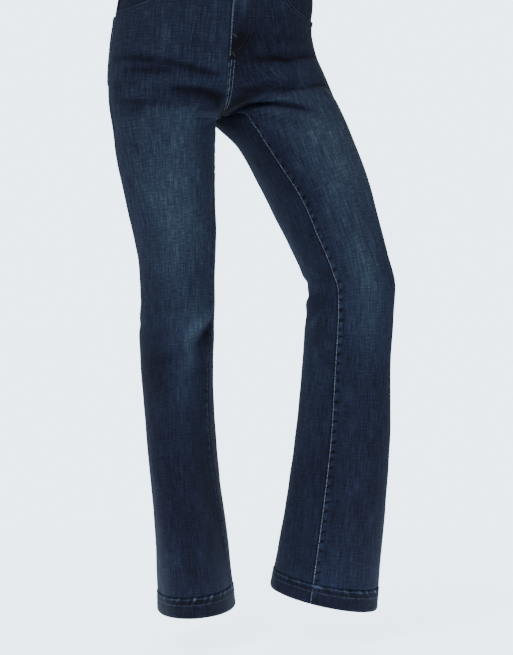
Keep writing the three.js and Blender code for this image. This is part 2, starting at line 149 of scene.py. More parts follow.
LEG_ROWS = {
    -1: (
        (290, -93.5, -16, -309, 81.5, 88, 92, 8, 0.1, 0),
        (340, -88.5, -18, -358, 76.5, 82, 86, 0, 0.12, 0),
        (390, -82.5, -20, -408, 71, 76, 80, -6, 0.12, 0),
        (440, -76.5, -22, -457, 66, 71, 73, -12, 0.09, 0),
        (490, -74.5, -23, -507, 61.5, 67, 67, -17, 0.02, 0),
        (540, -74, -23, -556, 60.5, 66, 64, -21, -0.02, 0.03),
        (590, -76, -20, -606, 61, 64, 66, -24, -0.02, 0.06),
        (640, -76, -16, -655, 58.5, 64, 68, -26, 0.03, 0.07),
        (740, -71, -9, -754, 53.5, 68, 72, -27, 0.07, 0.07),
        (840, -62.5, -3, -853, 52.5, 77, 79, -22, 0.1, 0.06),
        (940, -52.5, 3, -952, 57.5, 87, 87, -14, 0.08, 0.06),
        (1056, -44.5, 8, -1067, 64, 95, 94, -6, 0.03, 0.05),
    ),
    1: (
        (300, 108.5, 20, -272, 86, 94, 96, 42, 0.4, -0.13),
        (360, 136.5, 12, -328, 79, 90, 92, 52, 0.42, -0.13),
        (420, 161, 4, -384, 70, 87, 89, 58, 0.41, -0.13),
        (480, 181.5, -4, -440, 62, 81, 81, 61, 0.37, -0.12),
        (540, 201, -10, -498, 56, 76, 76, 63, 0.24, -0.05),
        (580, 210, -12, -537, 53, 77, 75, 64, 0.08, 0.02),
        (630, 208, -9, -587, 51, 75.5, 75.5, 65, -0.04, 0.08),
        (690, 204.5, -3, -646, 50, 76, 76, 65, -0.06, 0.1),
        (810, 198, 9, -764, 51, 81.5, 81.5, 66, -0.08, 0.1),
        (930, 187, 21, -883, 56, 86, 86, 67, -0.1, 0.1),
        (1050, 173.5, 33, -1001, 63, 90.5, 90.5, 68, -0.13, 0.1),
        (1106, 167.5, 38, -1056, 66, 94, 94, 68, -0.17, 0.1),
    ),
}
HEM_END = {-1: 1056, 1: 1106}
# down and share across: how far the left inseam lies in front of the thigh's inner edge.
INSEAM_ROWS = (
    (240, 0),
    (252, 0.07),
    (270, 0.08),
    (285, 0.055),
    (300, 0.036),
    (320, 0.025),
    (360, 0.015),
    (430, 0.008),
    (480, 0),
)
WORDS = {-1: "right", 1: "left"}

# side, down, across at one end, down, across at the other, width and depth. A negative depth is a trough.
# The first rows of each side are the CAD source's.
# A fold's depth also sets the shading painted into the cloth: painted shade in a trough, and a lighter ridge.
FOLDS = (
    (-1, 142, 0.36, 168, 0.03, 10, -3),
    (-1, 163, 0.38, 164, 0.2, 8, -2),
    (-1, 191, 0.24, 198, 0.02, 10, -4.5),
    (-1, 209, 0.42, 207, 0.12, 10, -2.5),
    (-1, 262, 0.66, 248, 0.9, 12, -4),
    (-1, 290, 0.62, 276, 0.86, 12, -2.5),
    (-1, 544, -0.01, 590, 0.13, 10, 3),
    (-1, 586, 0.125, 650, 0.115, 11, 1.6),
    (-1, 566, -0.02, 604, 0.08, 9, -3.8),
    (-1, 600, 0.075, 640, 0.05, 9, -1.8),
    (-1, 560, 0.64, 574, 0.86, 11, -5),
    (-1, 592, 0.62, 588, 0.88, 10, -4),
    (-1, 622, 0.66, 610, 0.84, 12, -3),
    (-1, 143, 0.46, 147, 0.2, 5, -1.2),
    (-1, 147, 0.21, 167, 0.02, 5, -1.5),
    (-1, 163, 0.37, 163, 0.2, 5, -0.9),
    (-1, 188, 0.2, 190, 0.09, 5, -1.4),
    (-1, 189, 0.11, 200, 0.01, 6, -2.6),
    (-1, 197, 0.03, 226, 0.05, 6, -1.4),
    (-1, 207, 0.42, 214, 0.22, 5, -0.7),
    (-1, 112, 0.04, 126, 0.2, 8, -1.0),
    (-1, 226, 0.02, 236, 0.19, 7, -1.7),
    (-1, 178, 0.3, 184, 0.43, 7, -1.1),
    (-1, 218, 0.3, 226, 0.44, 8, -1.2),
    (-1, 252, 0.04, 268, 0.16, 8, -1.4),
    (-1, 300, 0.04, 520, 0.02, 15, -1.5),
    (-1, 280, 0.43, 470, 0.47, 17, 1.3),
    (-1, 520, 0.3, 546, 0.44, 9, -1.5),
    (-1, 575, 0.33, 583, 0.46, 9, -1.8),
    (-1, 540, 0.14, 550, 0.28, 8, -0.9),
    (-1, 616, 0.12, 632, 0.27, 9, -1.5),
    (-1, 646, 0.02, 668, 0.16, 10, -1.3),
    (-1, 700, 0.07, 1000, 0.05, 20, -2.2),
    (-1, 760, 0.3, 1040, 0.34, 24, 2.4),
    (-1, 800, 0.18, 1050, 0.2, 20, -1.6),
    (-1, 700, 0.7, 1030, 0.66, 24, 2.2),
    (-1, 720, 0.86, 1040, 0.84, 22, -2.4),
    (-1, 228, 0.58, 236, 0.74, 10, -2.2),
    (-1, 318, 0.7, 308, 0.88, 11, -1.8),
    (-1, 540, 0.7, 550, 0.86, 9, -2),
    (-1, 606, 0.68, 600, 0.84, 8, 1.8),
    (-1, 644, 0.7, 632, 0.84, 10, -2),
    (1, 150, 0.1, 196, 0.38, 11, -3),
    (1, 206, 0.08, 252, 0.32, 11, -3.5),
    (1, 208, 0.04, 254, 0.155, 10, -3.4),
    (1, 242, 0.14, 302, 0.215, 10, -4.6),
    (1, 272, 0.64, 252, 0.9, 12, -4),
    (1, 306, 0.6, 284, 0.84, 12, -2.5),
    (1, 598, 0.7, 574, 0.96, 10, -2.6),
    (1, 616, 0.68, 597, 0.92, 10, 1.2),
    (1, 640, 0.68, 616, 0.9, 10, -0.6),
    (1, 658, 0.8, 610, 0.98, 9, 0.9),
    (1, 566, 0.62, 556, 0.86, 12, -4),
    (1, 146, 0.08, 161, 0.16, 5, -1.2),
    (1, 158, 0.15, 183, 0.23, 5, -2.7),
    (1, 180, 0.22, 197, 0.36, 5, -1.5),
    (1, 192, 0.04, 212, 0.12, 5, -1.5),
    (1, 211, 0.12, 250, 0.275, 5, -1.4),
    (1, 248, 0.27, 258, 0.37, 5, -1.1),
    (1, 197, 0.11, 236, 0.27, 5, -0.9),
    (1, 210, 0.04, 234, 0.125, 6, -1.3),
    (1, 230, 0.12, 270, 0.17, 6, -2.1),
    (1, 266, 0.17, 300, 0.215, 6, -1.6),
    (1, 222, 0.09, 262, 0.21, 6, 1.1),
    (1, 230, 0.085, 276, 0.09, 3.5, 0.7),
    (1, 112, 0.12, 140, 0.3, 9, -1.0),
    (1, 176, 0.05, 192, 0.16, 7, -1.4),
    (1, 250, 0.05, 322, 0.17, 10, -2.2),
    (1, 236, 0.32, 292, 0.4, 10, -1.7),
    (1, 330, 0.28, 520, 0.24, 18, 1.5),
    (1, 360, 0.45, 540, 0.42, 16, -1.8),
    (1, 380, 0.96, 540, 0.93, 14, -1.6),
    (1, 548, 0.88, 556, 0.98, 8, -0.8),
    (1, 682, 0.84, 648, 0.97, 9, -0.8),
    (1, 590, 0.83, 577, 0.92, 4.5, 0.8),
    (1, 649, 0.87, 604, 0.95, 4.5, 0.9),
    (1, 720, 0.05, 1060, 0.09, 20, 1.6),
    (1, 740, 0.3, 1080, 0.34, 24, 2.2),
    (1, 780, 0.42, 1070, 0.45, 20, -2.2),
    (1, 720, 0.62, 1060, 0.6, 22, 2.2),
    (1, 760, 0.78, 1080, 0.8, 24, -2.6),
    (1, 900, 0.9, 1080, 0.94, 16, -1.4),
    (1, 232, 0.56, 240, 0.72, 10, -2.2),
)

# side, down, across, reach down, reach across, strength: where the cloth is faded, or darker below zero. Most
# darker rows are painted shade: the shadow in the fork and in the crotch's creases, below and behind the
# knees, and on the legs' sides turned from the light. The others make the hips and lower legs darker.
FADES_AND_SHADE = (
    (-1, 320, 0.25, 130, 0.13, 0.22),
    (-1, 450, 0.18, 100, 0.11, 0.18),
    (-1, 575, 0.1, 42, 0.1, 0.2),
    (-1, 630, 0.12, 56, 0.045, 0.12),
    (-1, 700, 0.14, 40, 0.05, 0.08),
    (-1, 840, 0.15, 150, 0.07, 0.05),
    (-1, 110, 0.2, 60, 0.12, 0.03),
    (-1, 240, 0.3, 30, 0.12, 0.06),
    (-1, 180, 0.5, 24, 0.014, 0.3),
    (-1, 205, 0.02, 16, 0.05, -0.12),
    (-1, 219, 0.02, 20, 0.035, -0.26),
    (-1, 300, -0.01, 200, 0.07, 0.14),
    (-1, 880, 0.1, 230, 0.4, -0.22),
    (-1, 598, 0.015, 24, 0.045, -0.3),
    (-1, 640, 0.02, 44, 0.035, -0.14),
    (-1, 640, 0.3, 60, 0.08, -0.14),
    (-1, 800, 0.4, 260, 0.12, -0.1),
    (-1, 160, 0.72, 90, 0.16, 0.2),
    (-1, 420, 0.76, 190, 0.12, 0.12),
    (-1, 700, 0.75, 160, 0.12, 0.08),
    (1, 310, 0.2, 100, 0.11, 0.2),
    (1, 430, 0.17, 100, 0.11, 0.2),
    (1, 560, 0.13, 70, 0.08, 0.24),
    (1, 380, 0.34, 150, 0.08, 0.1),
    (1, 640, 0.12, 60, 0.07, 0.08),
    (1, 780, 0.12, 170, 0.08, 0.04),
    (1, 900, 0.1, 250, 0.5, -0.21),
    (1, 120, 0.15, 70, 0.2, -0.12),
    (1, 205, 0.1, 26, 0.1, -0.1),
    (1, 190, 0.13, 16, 0.06, 0.1),
    (1, 240, 0.05, 24, 0.07, -0.42),
    (1, 252, 0.0, 20, 0.05, -0.25),
    (1, 125, 0.04, 42, 0.055, -0.2),
    (1, 32, 0.03, 26, 0.03, 0.14),
    (1, 330, 0.98, 190, 0.07, -0.12),
    (1, 320, 0.03, 110, 0.05, -0.1),
    (1, 608, 0.9, 30, 0.08, -0.16),
    (1, 840, 0.9, 230, 0.1, 0.08),
    (1, 160, 0.72, 90, 0.16, 0.2),
    (1, 420, 0.76, 190, 0.12, 0.1),
    (1, 700, 0.75, 160, 0.12, 0.08),
)
# How faded the cloth is where no row of the table above applies.
BASE_WEAR = 0.45

# What the camera sees, in metres.
CAMERA_PLACE = (0.0553, -4.5, -0.27)
CAMERA_AIM = (0.0553, 0.0, -0.6014)
FLOOR_LEVEL = -1.13
BACKDROP = (232, 237, 240)
BACKDROP_GLOW = (3.5, 4.2, 4.8)
FLOOR_GLOW = 0.72
WORLD_LIGHT = 0.6

DENIM_COLOURS = (
    (0.0, (3, 3, 9)),
    (0.25, (11, 13, 30)),
    (0.5, (25, 31, 50)),
    (0.75, (41, 52, 68)),
    (1.0, (68, 84, 98)),
)
REVERSE_COLOURS = ((0.0, (62, 72, 90)), (0.5, (92, 104, 122)), (1.0, (130, 140, 154)))

THREAD_COLOURS = {
    "topstitch thread": ((0.1, (66, 76, 94)), (0.5, (104, 114, 130)), (0.9, (146, 152, 162))),
    "dark thread": ((0.1, (14, 15, 24)), (0.5, (24, 27, 38)), (0.9, (40, 44, 56))),
    "tonal thread": ((0.1, (24, 27, 40)), (0.5, (40, 47, 62)), (0.9, (68, 75, 89))),
    "tack thread": ((0.1, (30, 24, 26)), (0.5, (56, 44, 42)), (0.9, (88, 70, 60))),
}


class Sections:
    """A table of sections with named columns, read between its rows along smooth curves."""

    def __init__(self, names, rows):
        rows = np.array(rows, float)
        self.stations = rows[:, 0]
        step = np.diff(self.stations)
        self.columns = {}
        for name, values in zip(names.split(), rows.T):
            self.columns[name] = (values, self.slopes(values, step))

    @staticmethod
    def slopes(values, step):
        rise = np.diff(values) / step
        before = 2 * step[1:] + step[:-1]
        after = step[1:] + 2 * step[:-1]
        same = rise[:-1] * rise[1:] > 0
        low = np.where(same, rise[:-1], 1)
        high = np.where(same, rise[1:], 1)
        inner = np.where(same, (before + after) / (before / low + after / high), 0)
        return np.concatenate([rise[:1], inner, rise[-1:]])

    def at(self, name, station):
        values, slopes = self.columns[name]
        i = np.clip(np.searchsorted(self.stations, station, side="right") - 1, 0, len(values) - 2)
        h = self.stations[i + 1] - self.stations[i]
        u = np.clip((station - self.stations[i]) / h, 0, 1)
        start = values[i] * (1 + 2 * u) * (1 - u) ** 2 + slopes[i] * h * u * (1 - u) ** 2
        end = values[i + 1] * u * u * (3 - 2 * u) + slopes[i + 1] * h * u * u * (u - 1)
        return start + end


def near(distance, reach):
    """1 at no distance, and softly less past a reach."""
    return np.exp(-((distance / reach) ** 2))


def smooth(x):
    x = np.clip(x, 0, 1)
    return x * x * (3 - 2 * x)


def unit(v):
    return v / np.maximum(np.linalg.norm(v, axis=-1, keepdims=True), 1e-12)


def dot(a, b):
    return (a * b).sum(-1)


def side_sections(side):
    """A side's sections from the waistband to the hem, hips and leg in one table."""
    hips = Sections(HIP_NAMES, HIP_ROWS)
    yaw = math.radians(HIP_YAW)
    word = "Right" if side < 0 else "Left"
    rows = []
    for down in hips.stations:
        at = lambda name: float(hips.at(name, down))
        share = -math.cos(math.radians(at("turn")))
        wide = at("out" + word) / (1 + share)
        x = at("middle") + side * wide * share * math.cos(yaw) / math.hypot(1, at("lean" + word))
        y = side * wide * share * math.sin(yaw)
        turned = HIP_YAW if side < 0 else at("yawLeft")
        lean = side * at("lean" + word)
        rows.append((down, x, y, at("z" + word), wide, at("front"), at("back"), turned, lean, 0, at("turn")))
    return Sections(LEG_NAMES + " turn", rows + [(*row, 180) for row in LEG_ROWS[side]])


SIDES = {side: side_sections(side) for side in (-1, 1)}
MIDDLE_SEAM = Sections("down yFront zFront yBack zBack", MIDDLE_SEAM_ROWS)
MIDDLE_LINE = Sections("depth x", MIDDLE_LINE_ROWS)
INSEAM = Sections("down shift", INSEAM_ROWS)
LATERAL = np.array([math.cos(math.radians(HIP_YAW)), math.sin(math.radians(HIP_YAW)), 0])


def middle_point(down, at_front):
    """The middle seam's points at the front or the back."""
    y = np.where(at_front, MIDDLE_SEAM.at("yFront", down), MIDDLE_SEAM.at("yBack", down))
    z = np.where(at_front, MIDDLE_SEAM.at("zFront", down), MIDDLE_SEAM.at("zBack", down))
    return np.stack([MIDDLE_LINE.at("x", -z) - LATERAL[1] * y, LATERAL[0] * y, z], -1)


def keep_to_side(point, side, clearance):
    """Keeps points of one side clear of the plane between the sides."""
    from_line = point.copy()
    from_line[..., 0] -= MIDDLE_LINE.at("x", -point[..., 2])
    short = np.maximum(0, clearance - side * dot(from_line, LATERAL))
    return point + LATERAL * (side * short)[..., None]


def form_point(side, down, across):
    """Points of the smooth form, before its folds."""
    at = lambda name: SIDES[side].at(name, down)
    flat = np.zeros(np.shape(down))
    yaw = np.radians(at("yaw"))
    along = unit(np.stack([at("slopeX"), at("slopeY"), flat - 1], -1))
    back = np.stack([-np.sin(yaw), np.cos(yaw), flat], -1)
    back = unit(back - along * dot(back, along)[..., None])
    outward = np.cross(along, back)
    outward *= side * np.sign(dot(outward, LATERAL))[..., None]
    centre = np.stack([at("x"), at("y"), at("z")], -1)
    turn = np.radians(at("turn"))
    at_front = across < SIDE_SEAM
    depth = np.where(at_front, at("front"), at("back"))
    wide = at("wide")

    def ring(angle):
        aside, behind = wide * np.cos(angle), depth * np.sin(angle)
        return centre + outward * aside[..., None] + back * behind[..., None]

    point = ring((across - SIDE_SEAM) * 2 * turn)
    share = smooth((np.abs(across - SIDE_SEAM) * 2 - 0.35) / 0.65)
    pull = share * smooth((FORK + 60 - down) / 60)
    return point + (middle_point(down, at_front) - ring(np.where(at_front, -turn, turn))) * pull[..., None]


def form_normal(side, down, across):
    """The form's outward normals."""
    low, high = np.maximum(across - 0.002, 0), np.minimum(across + 0.002, 1)
    over = form_point(side, down, high) - form_point(side, down, low)
    top = np.clip(down - 1, -BAND_HEIGHT, HEM_END[side] - 2)
    under = form_point(side, top + 2, across) - form_point(side, top, across)
    return unit(np.cross(under, over) * side)


def folds(side, down, across):
    """How far the folds move the cloth out, and the shading painted into the cloth for them: darker troughs,
    lighter ridges.
    """
    edge = np.minimum(across, 1 - across)
    hold = np.where(down < FORK, smooth(edge / 0.04), 1)
    depth, painted_fold_shading = np.zeros(np.shape(down)), np.zeros(np.shape(down))
    for of_side, down1, across1, down2, across2, width, height in FOLDS:
        if of_side != side:
            continue
        reach = across2 - across1
        start = across - across1
        start = start - np.where(down > FORK, np.round(start - reach / 2), 0)
        lx, ly = reach * CLOTH_ACROSS, down2 - down1
        px, py = start * CLOTH_ACROSS, down - down1
        u = np.clip((px * lx + py * ly) / (lx * lx + ly * ly), 0, 1)
        away = np.hypot(px - u * lx, py - u * ly) / width
        part = height * np.exp(-away * away) * np.sin(np.pi * (0.12 + 0.76 * u))
        depth += part
        # Painted shade: the narrower and deeper the trough, the darker the cloth's colour. Ridges are
        # lightened.
        painted_fold_shading += part * (0.03 + 17 / width**3)
    return depth * hold, np.clip(painted_fold_shading, -0.5, 0.24)


def place_on_form(side, down, across):
    """Where places of the cloth lie on the form. Below the fork the left inseam turns to the front."""
    if side < 0:
        return across
    shifted = across + INSEAM.at("shift", down) * (2 * across - 1) ** 2
    return np.where(shifted > 1, shifted - 1, shifted)


def ripple(side, down, across):
    """The slight unevenness of worn cloth, a few tenths of a millimetre."""
    x, y = across * CLOTH_ACROSS, down + 300 * side
    edge = np.minimum(np.minimum(across, 1 - across), np.abs(across - SIDE_SEAM))
    waves = np.sin(x / 11.3 + 1.7 * np.sin(y / 47)) * np.sin(y / 17.9 + 1.1 * np.sin(x / 31))
    slanted = 0.8 * np.sin(x / 6.1 + y / 23.7 + 2 * np.sin(y / 29))
    waves += slanted + 0.7 * np.sin(y / 9.7 - x / 19.3 + 1.5 * np.sin(x / 23))
    return 0.17 * waves * smooth(edge / 0.03)


def cloth(side, down, across, out=0.0):
    """Points of the cloth, moved out from the panels' outer face."""
    down, across, out = (np.array(v, float) for v in np.broadcast_arrays(down, across, out))
    place = place_on_form(side, down, across)
    lift = folds(side, down, place)[0] + ripple(side, down, across) + out
    shift = form_normal(side, down, place) * lift[..., None]
    from_middle = np.minimum(across, 1 - across) * CLOTH_ACROSS
    near_middle = near(from_middle, 5) * smooth((FORK - down) / 10)
    point = form_point(side, down, place) + shift - LATERAL * (dot(shift, LATERAL) * near_middle)[..., None]
    held = keep_to_side(point, side, SIDES_APART)
    return np.where((down < LEGS_APART)[..., None], held, point)


def waist(turn, down, out=0.0):
    """Points round the waist. turn runs from the front middle over the left side, 0 to 2."""
    turn, down, out = (np.array(v, float) for v in np.broadcast_arrays(turn, down, out))
    left = cloth(1, down, np.clip(turn, 0, 1), out)
    right = cloth(-1, down, np.clip(2 - turn, 0, 1), out)
    return np.where((turn <= 1)[..., None], left, right)


def girth_table(side):
    """Millimetres of cloth in one unit across, at the front and the back, down a side."""
    down = np.linspace(-BAND_HEIGHT, HEM_END[side], 80)
    across = np.linspace(0, 1, 121)
    points = form_point(side, *np.meshgrid(down, across, indexing="ij"))
    steps = np.linalg.norm(np.diff(points, axis=1), axis=-1)
    return down, 2 * steps[:, :60].sum(1), 2 * steps[:, 60:].sum(1)


GIRTHS = {side: girth_table(side) for side in (-1, 1)}


def girth(side, down, across):
    stations, front, back = GIRTHS[side]
    at_front = np.asarray(across) < SIDE_SEAM
    return np.where(at_front, np.interp(down, stations, front), np.interp(down, stations, back))


def band(distance, low, high, soft):
    """1 between two distances, with soft ends."""
    return smooth((distance - low) / soft + 0.5) - smooth((distance - high) / soft + 0.5)


def puckers(along, shift=0.0):
    """Uneven waves along a seam, between about -1 and 1."""
    s = along + shift
    waves = np.sin(s / 1.35 + 1.3 * np.sin(s / 31)) + 0.8 * np.sin(s / 2.1 + 2.1 * np.sin(s / 43) + 1)
    waves = waves + 0.5 * np.sin(s / 3.7 + 0.4)
    return waves * (0.6 + 0.28 * np.sin(s / 27 + 2)) / 1.6


def knots(along, shift=0.0):
    """Waves along a seam that gather into short, dark hollows some 16 mm apart."""
    s = along + shift
    wave = np.sin(s / 2.5 + 1.6 * np.sin(s / 37) + 0.7 * np.sin(s / 11))
    return 0.45 * puckers(along, shift) + 0.25 - 1.3 * smooth((wave - 0.45) / 0.5)


def yoke_line(side, across):
    return YOKE_AT_SIDE[side] + (YOKE_AT_BACK - YOKE_AT_SIDE[side]) * (across - SIDE_SEAM) * 2


def scoop_line(side, across):
    """The front pocket's opening: how far below the waistband the front panel starts."""
    u = np.clip((across - SCOOP_START) / (SIDE_SEAM - SCOOP_START), 0, 1)
    return SCOOP_DROP[side] * (1 - (1 - u) ** SCOOP_ROUND) ** (1 / SCOOP_ROUND)


def scoop_distance(side, down, across):
    """How far below the pocket's opening a place of the front panel lies."""
    rise = scoop_line(side, across + 0.002) - scoop_line(side, across - 0.002)
    slope = rise / (0.004 * girth(side, down, across))
    gap = (down - scoop_line(side, across)) / np.hypot(1, slope)
    return np.where(across > SCOOP_START, gap, np.hypot(gap, (SCOOP_START - across) * CLOTH_ACROSS))


def seam_parts(side, down, across):
    """Where a place lies from its panel's seams, and how much each seam's fold of cloth covers it."""
    reach = girth(side, down, across)
    front = across < SIDE_SEAM
    inner = np.where(front, across, 1 - across) * reach
    outer = np.abs(across - SIDE_SEAM) * reach
    leg = smooth((down - FORK + 4) / 10)
    middle = (1 - leg) * (side > 0) * np.where(front, smooth((down - FLY_LENGTH - 2) / 6), 1)
    felled = np.where(front, leg, 0) + middle
    return inner, outer, felled, front


def seam_relief(side, down, across):
    """The height of the seams' ridges, valleys and puckers on the panels."""
    inner, outer, felled, front = seam_parts(side, down, across)
    height = -1.1 * near(inner, 1.5) - 1.0 * near(outer, 1.5)
    height += felled * band(inner, 1.6, 9.5, 1.6) * (0.62 + 0.5 * knots(down + 0.5 * inner, 40 * side))
    height += felled * 0.4 * near(inner - 12, 6) * knots(down + 0.5 * inner, 40 * side)
    pressed = np.where(front, 0, 1) * (down > YOKE_AT_SIDE[side])
    height += pressed * band(outer, 1.6, 10, 1.8) * (0.4 + 0.22 * puckers(down + 0.4 * outer, 90))
    edge = scoop_distance(side, down, across)
    at_scoop = front * np.exp(-np.maximum(0, SCOOP_START - across) / 0.006)
    height += at_scoop * (0.5 * band(edge, 0.8, 9, 1.6) - 0.5 * near(edge, 0.9))
    under_yoke = np.where(front, 0, 1) * np.exp(-(((down - yoke_line(side, across)) / 1.6) ** 2))
    return height - 0.9 * under_yoke


def wear_and_shade(side, down, across):
    """How faded the cloth is, about 0 to 1, with the painted shade of the darker rows and of the folds'
    troughs.
    """
    across = place_on_form(side, down, across)
    level = np.full(np.shape(down), BASE_WEAR)
    for of_side, at_down, at_across, reach_down, reach_across, strength in FADES_AND_SHADE:
        if of_side != side:
            continue
        apart = across - at_across
        apart = apart - np.where(down > FORK, np.round(apart), 0)
        level += strength * np.exp(-(((down - at_down) / reach_down) ** 2) - (apart / reach_across) ** 2)
    # The folds add their painted shading: darker troughs and lighter ridges.
    return level + folds(side, down, across)[1]


def panel_wear_and_shade(side, down, across):
    inner, outer, felled, front = seam_parts(side, down, across)
    level = wear_and_shade(side, down, across)
    middle = felled * (down < FORK - 4)
    rope = knots(down + 0.5 * inner, 40 * side)
    level += middle * 0.45 * near(inner - 0.9, 1.1)
    level += felled * (0.1 * near(inner - 1.8, 1.2) + KNOTS[side] * rope * near(inner - 4.8, 3.4))
    level += 0.1 * puckers(down + 0.4 * outer, 90) * near(outer - 5, 5)
    level -= 0.16 * ((1 - middle) * near(inner, 1.4) + near(outer, 1.4))
    edge = scoop_distance(side, down, across)
    return level + front * (0.16 * near(edge - 0.6, 1.2) - 0.05 * near(edge - 5, 3))


def steps(low, high, count):
    return np.linspace(low, high, count + 1)


EDGE_STEPS = np.array([0, 0.8, 1.6, 2.5, 3.5, 4.7, 6, 7.4, 8.8, 10.2, 12, 14.5, 18]) / CLOTH_ACROSS
SCOOP_STEPS = (0.0008, 0.002, 0.004, 0.008, 0.014, 0.022, 0.032, 0.046, 0.064, 0.09)


def panel_columns(low, high, scoop=False):
    """Places across a panel, closer together at its seams and where a pocket's opening falls steeply."""
    inner = steps(low + EDGE_STEPS[-1], high - EDGE_STEPS[-1], 42)[1:-1]
    columns = np.concatenate([low + EDGE_STEPS, inner, high - EDGE_STEPS])
    if scoop:
        start = [SCOOP_START + u * (SIDE_SEAM - SCOOP_START) for u in (0, *SCOOP_STEPS)]
        clear = (columns < SCOOP_START - 0.003) | (columns > start[-1] + 0.003)
        columns = np.concatenate([columns[clear], start])
    return np.unique(columns)


class Grid:
    """A sheet of cloth laid out in rows and columns: its points, its fading with painted shade, and its own
    flat coordinates.
    """

    def __init__(self, points, fade, down, flip=False, ring=False):
        self.points = points * MM
        self.fade = fade
        self.down = np.broadcast_to(down, fade.shape) * MM
        self.flip = flip
        self.ring = ring

    def faces(self):
        rows, count = self.fade.shape
        index = np.arange(rows * count).reshape(rows, count)
        if self.ring:
            index = np.concatenate([index, index[:, :1]], 1)
        quads = np.stack([index[:-1, :-1], index[1:, :-1], index[1:, 1:], index[:-1, 1:]], -1).reshape(-1, 4)
        return quads[:, ::-1] if self.flip else quads

    def lengths(self, axis):
        """The cloth's length along its rows or columns, from their start."""
        points = self.points
        step = np.linalg.norm(np.diff(points, axis=axis), axis=-1)
        start = np.zeros_like(step[:, :1] if axis == 1 else step[:1])
        return np.concatenate([start, np.cumsum(step, axis=axis)], axis)

    def grain(self):
        """How far a place lies from a grain line, measured along level lines of the cloth."""
        row, column = np.gradient(self.points, axis=1), np.gradient(self.points, axis=0)
        slope = np.gradient(self.down, axis=1) / np.gradient(self.down, axis=0)
        level = unit(row - column * slope[..., None])
        along = dot(np.diff(self.points[-1], axis=0), level[-1, :-1])
        last = np.concatenate([[0], np.cumsum(along)])
        drift = dot(np.diff(self.points, axis=0), level[:-1])
        rest = np.cumsum(drift[::-1], axis=0)[::-1]
        return np.concatenate([last - rest, last[None]])

    def flat_size(self):
        """The cut's width and length, and its area, in metres."""
        quads = self.points.reshape(-1, 3)[self.faces()]
        crossed = np.cross(quads[:, 2] - quads[:, 0], quads[:, 3] - quads[:, 1])
        area = 0.5 * np.linalg.norm(crossed, axis=-1).sum()
        across, along = self.lengths(1)[:, -1].max(), np.median(self.lengths(0)[-1])
        return (round(float(across), 3), round(float(along), 3)), round(float(area), 4)


def piece_from(name, points, faces, materials):
    """A smooth-shaded object that rides on the part's body."""
    mesh = bpy.data.meshes.new(name)
    mesh.from_pydata(points.reshape(-1, 3).tolist(), [], faces.tolist())
    for material in materials:
        mesh.materials.append(bpy.data.materials[material])
    mesh.polygons.foreach_set("use_smooth", [True] * len(mesh.polygons))
    mesh.update()
    piece = bpy.data.objects.new(name, mesh)
    bpy.context.scene.collection.objects.link(piece)
    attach(piece, "root")
    return piece


def cloth_piece(name, grid, node, thickness, rests_on=()):
    """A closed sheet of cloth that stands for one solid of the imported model."""
    piece = piece_from(name, grid.points, grid.faces(), ("washed denim", "denim reverse side"))
    mesh = piece.data
    mesh.attributes.new("fade", "FLOAT", "POINT").data.foreach_set("value", grid.fade.ravel())
    flat = np.stack([grid.grain(), grid.down], -1).reshape(-1, 2)
    corners = np.empty(len(mesh.loops), int)
    mesh.loops.foreach_get("vertex_index", corners)
    mesh.uv_layers.new(name="cloth").data.foreach_set("uv", flat[corners].ravel())
    solidify = piece.modifiers.new("Cloth thickness", "SOLIDIFY")
    solidify.thickness = thickness
    solidify.offset = -1
    solidify.material_offset = 1
    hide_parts(node)
    size, area = grid.flat_size()
    whole = size[0] * size[1]
    min(max(area, 0.31 * whole), whole)
    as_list(rests_on)
    return piece


def panel_grid(side, across, top_line):
    """A leg panel from its top line to the hem."""
    end = HEM_END[side] - HEM_HEIGHT + TUCKED_IN
    below = steps(HIP_ROWS_END, end, int((end - HIP_ROWS_END) / 2.6))
    rows = np.unique(np.concatenate([steps(0, HIP_ROWS_END, 40)[:-1], below, steps(FORK - 8, FORK + 28, 52)]))
    a, row = np.meshgrid(across, rows)
    top = top_line(side, a)
    down = np.where(row < HIP_ROWS_END, top + (HIP_ROWS_END - top) * row / HIP_ROWS_END, row)
    tuck = -2.1 * smooth((down - end + TUCKED_IN + 2.5) / 3)
    points = cloth(side, down, a, seam_relief(side, down, a) + tuck)
    return Grid(points, panel_wear_and_shade(side, down, a), down, side < 0)


def seated_grid(side, down, across, out, fade=0.0):
    """A sheet that lies on the panels of a side."""
    return Grid(cloth(side, down, across, out), wear_and_shade(side, down, across) + fade, down, side < 0)


def rolled(b, a=None, length=100.0, width=None, drop=0.8, reach=2.2):
    """How far a sheet's edges turn down, from its shares along and across."""
    from_edge = np.minimum(b, 1 - b) * length
    if width is not None:
        from_edge = np.minimum(from_edge, np.minimum(a, 1 - a) * width)
    return -drop * near(from_edge, reach)


def fine_shares(length, width, fine=1.0):
    """Shares along a strip that are closer together at both ends."""
    edge = np.array([0, 0.7, 1.5, 2.5, 4]) * fine / length
    count = max(4, int(length / (3.0 * fine)))
    return np.unique(np.concatenate([edge, np.linspace(edge[-1], 1 - edge[-1], count), 1 - edge]))


CAPSULE_RINGS = ((-0.5, 0.0), (-0.42, 0.62), (-0.2, 1.0), (0.2, 1.0), (0.42, 0.62), (0.5, 0.0))
CAPSULE_SIDES = 6


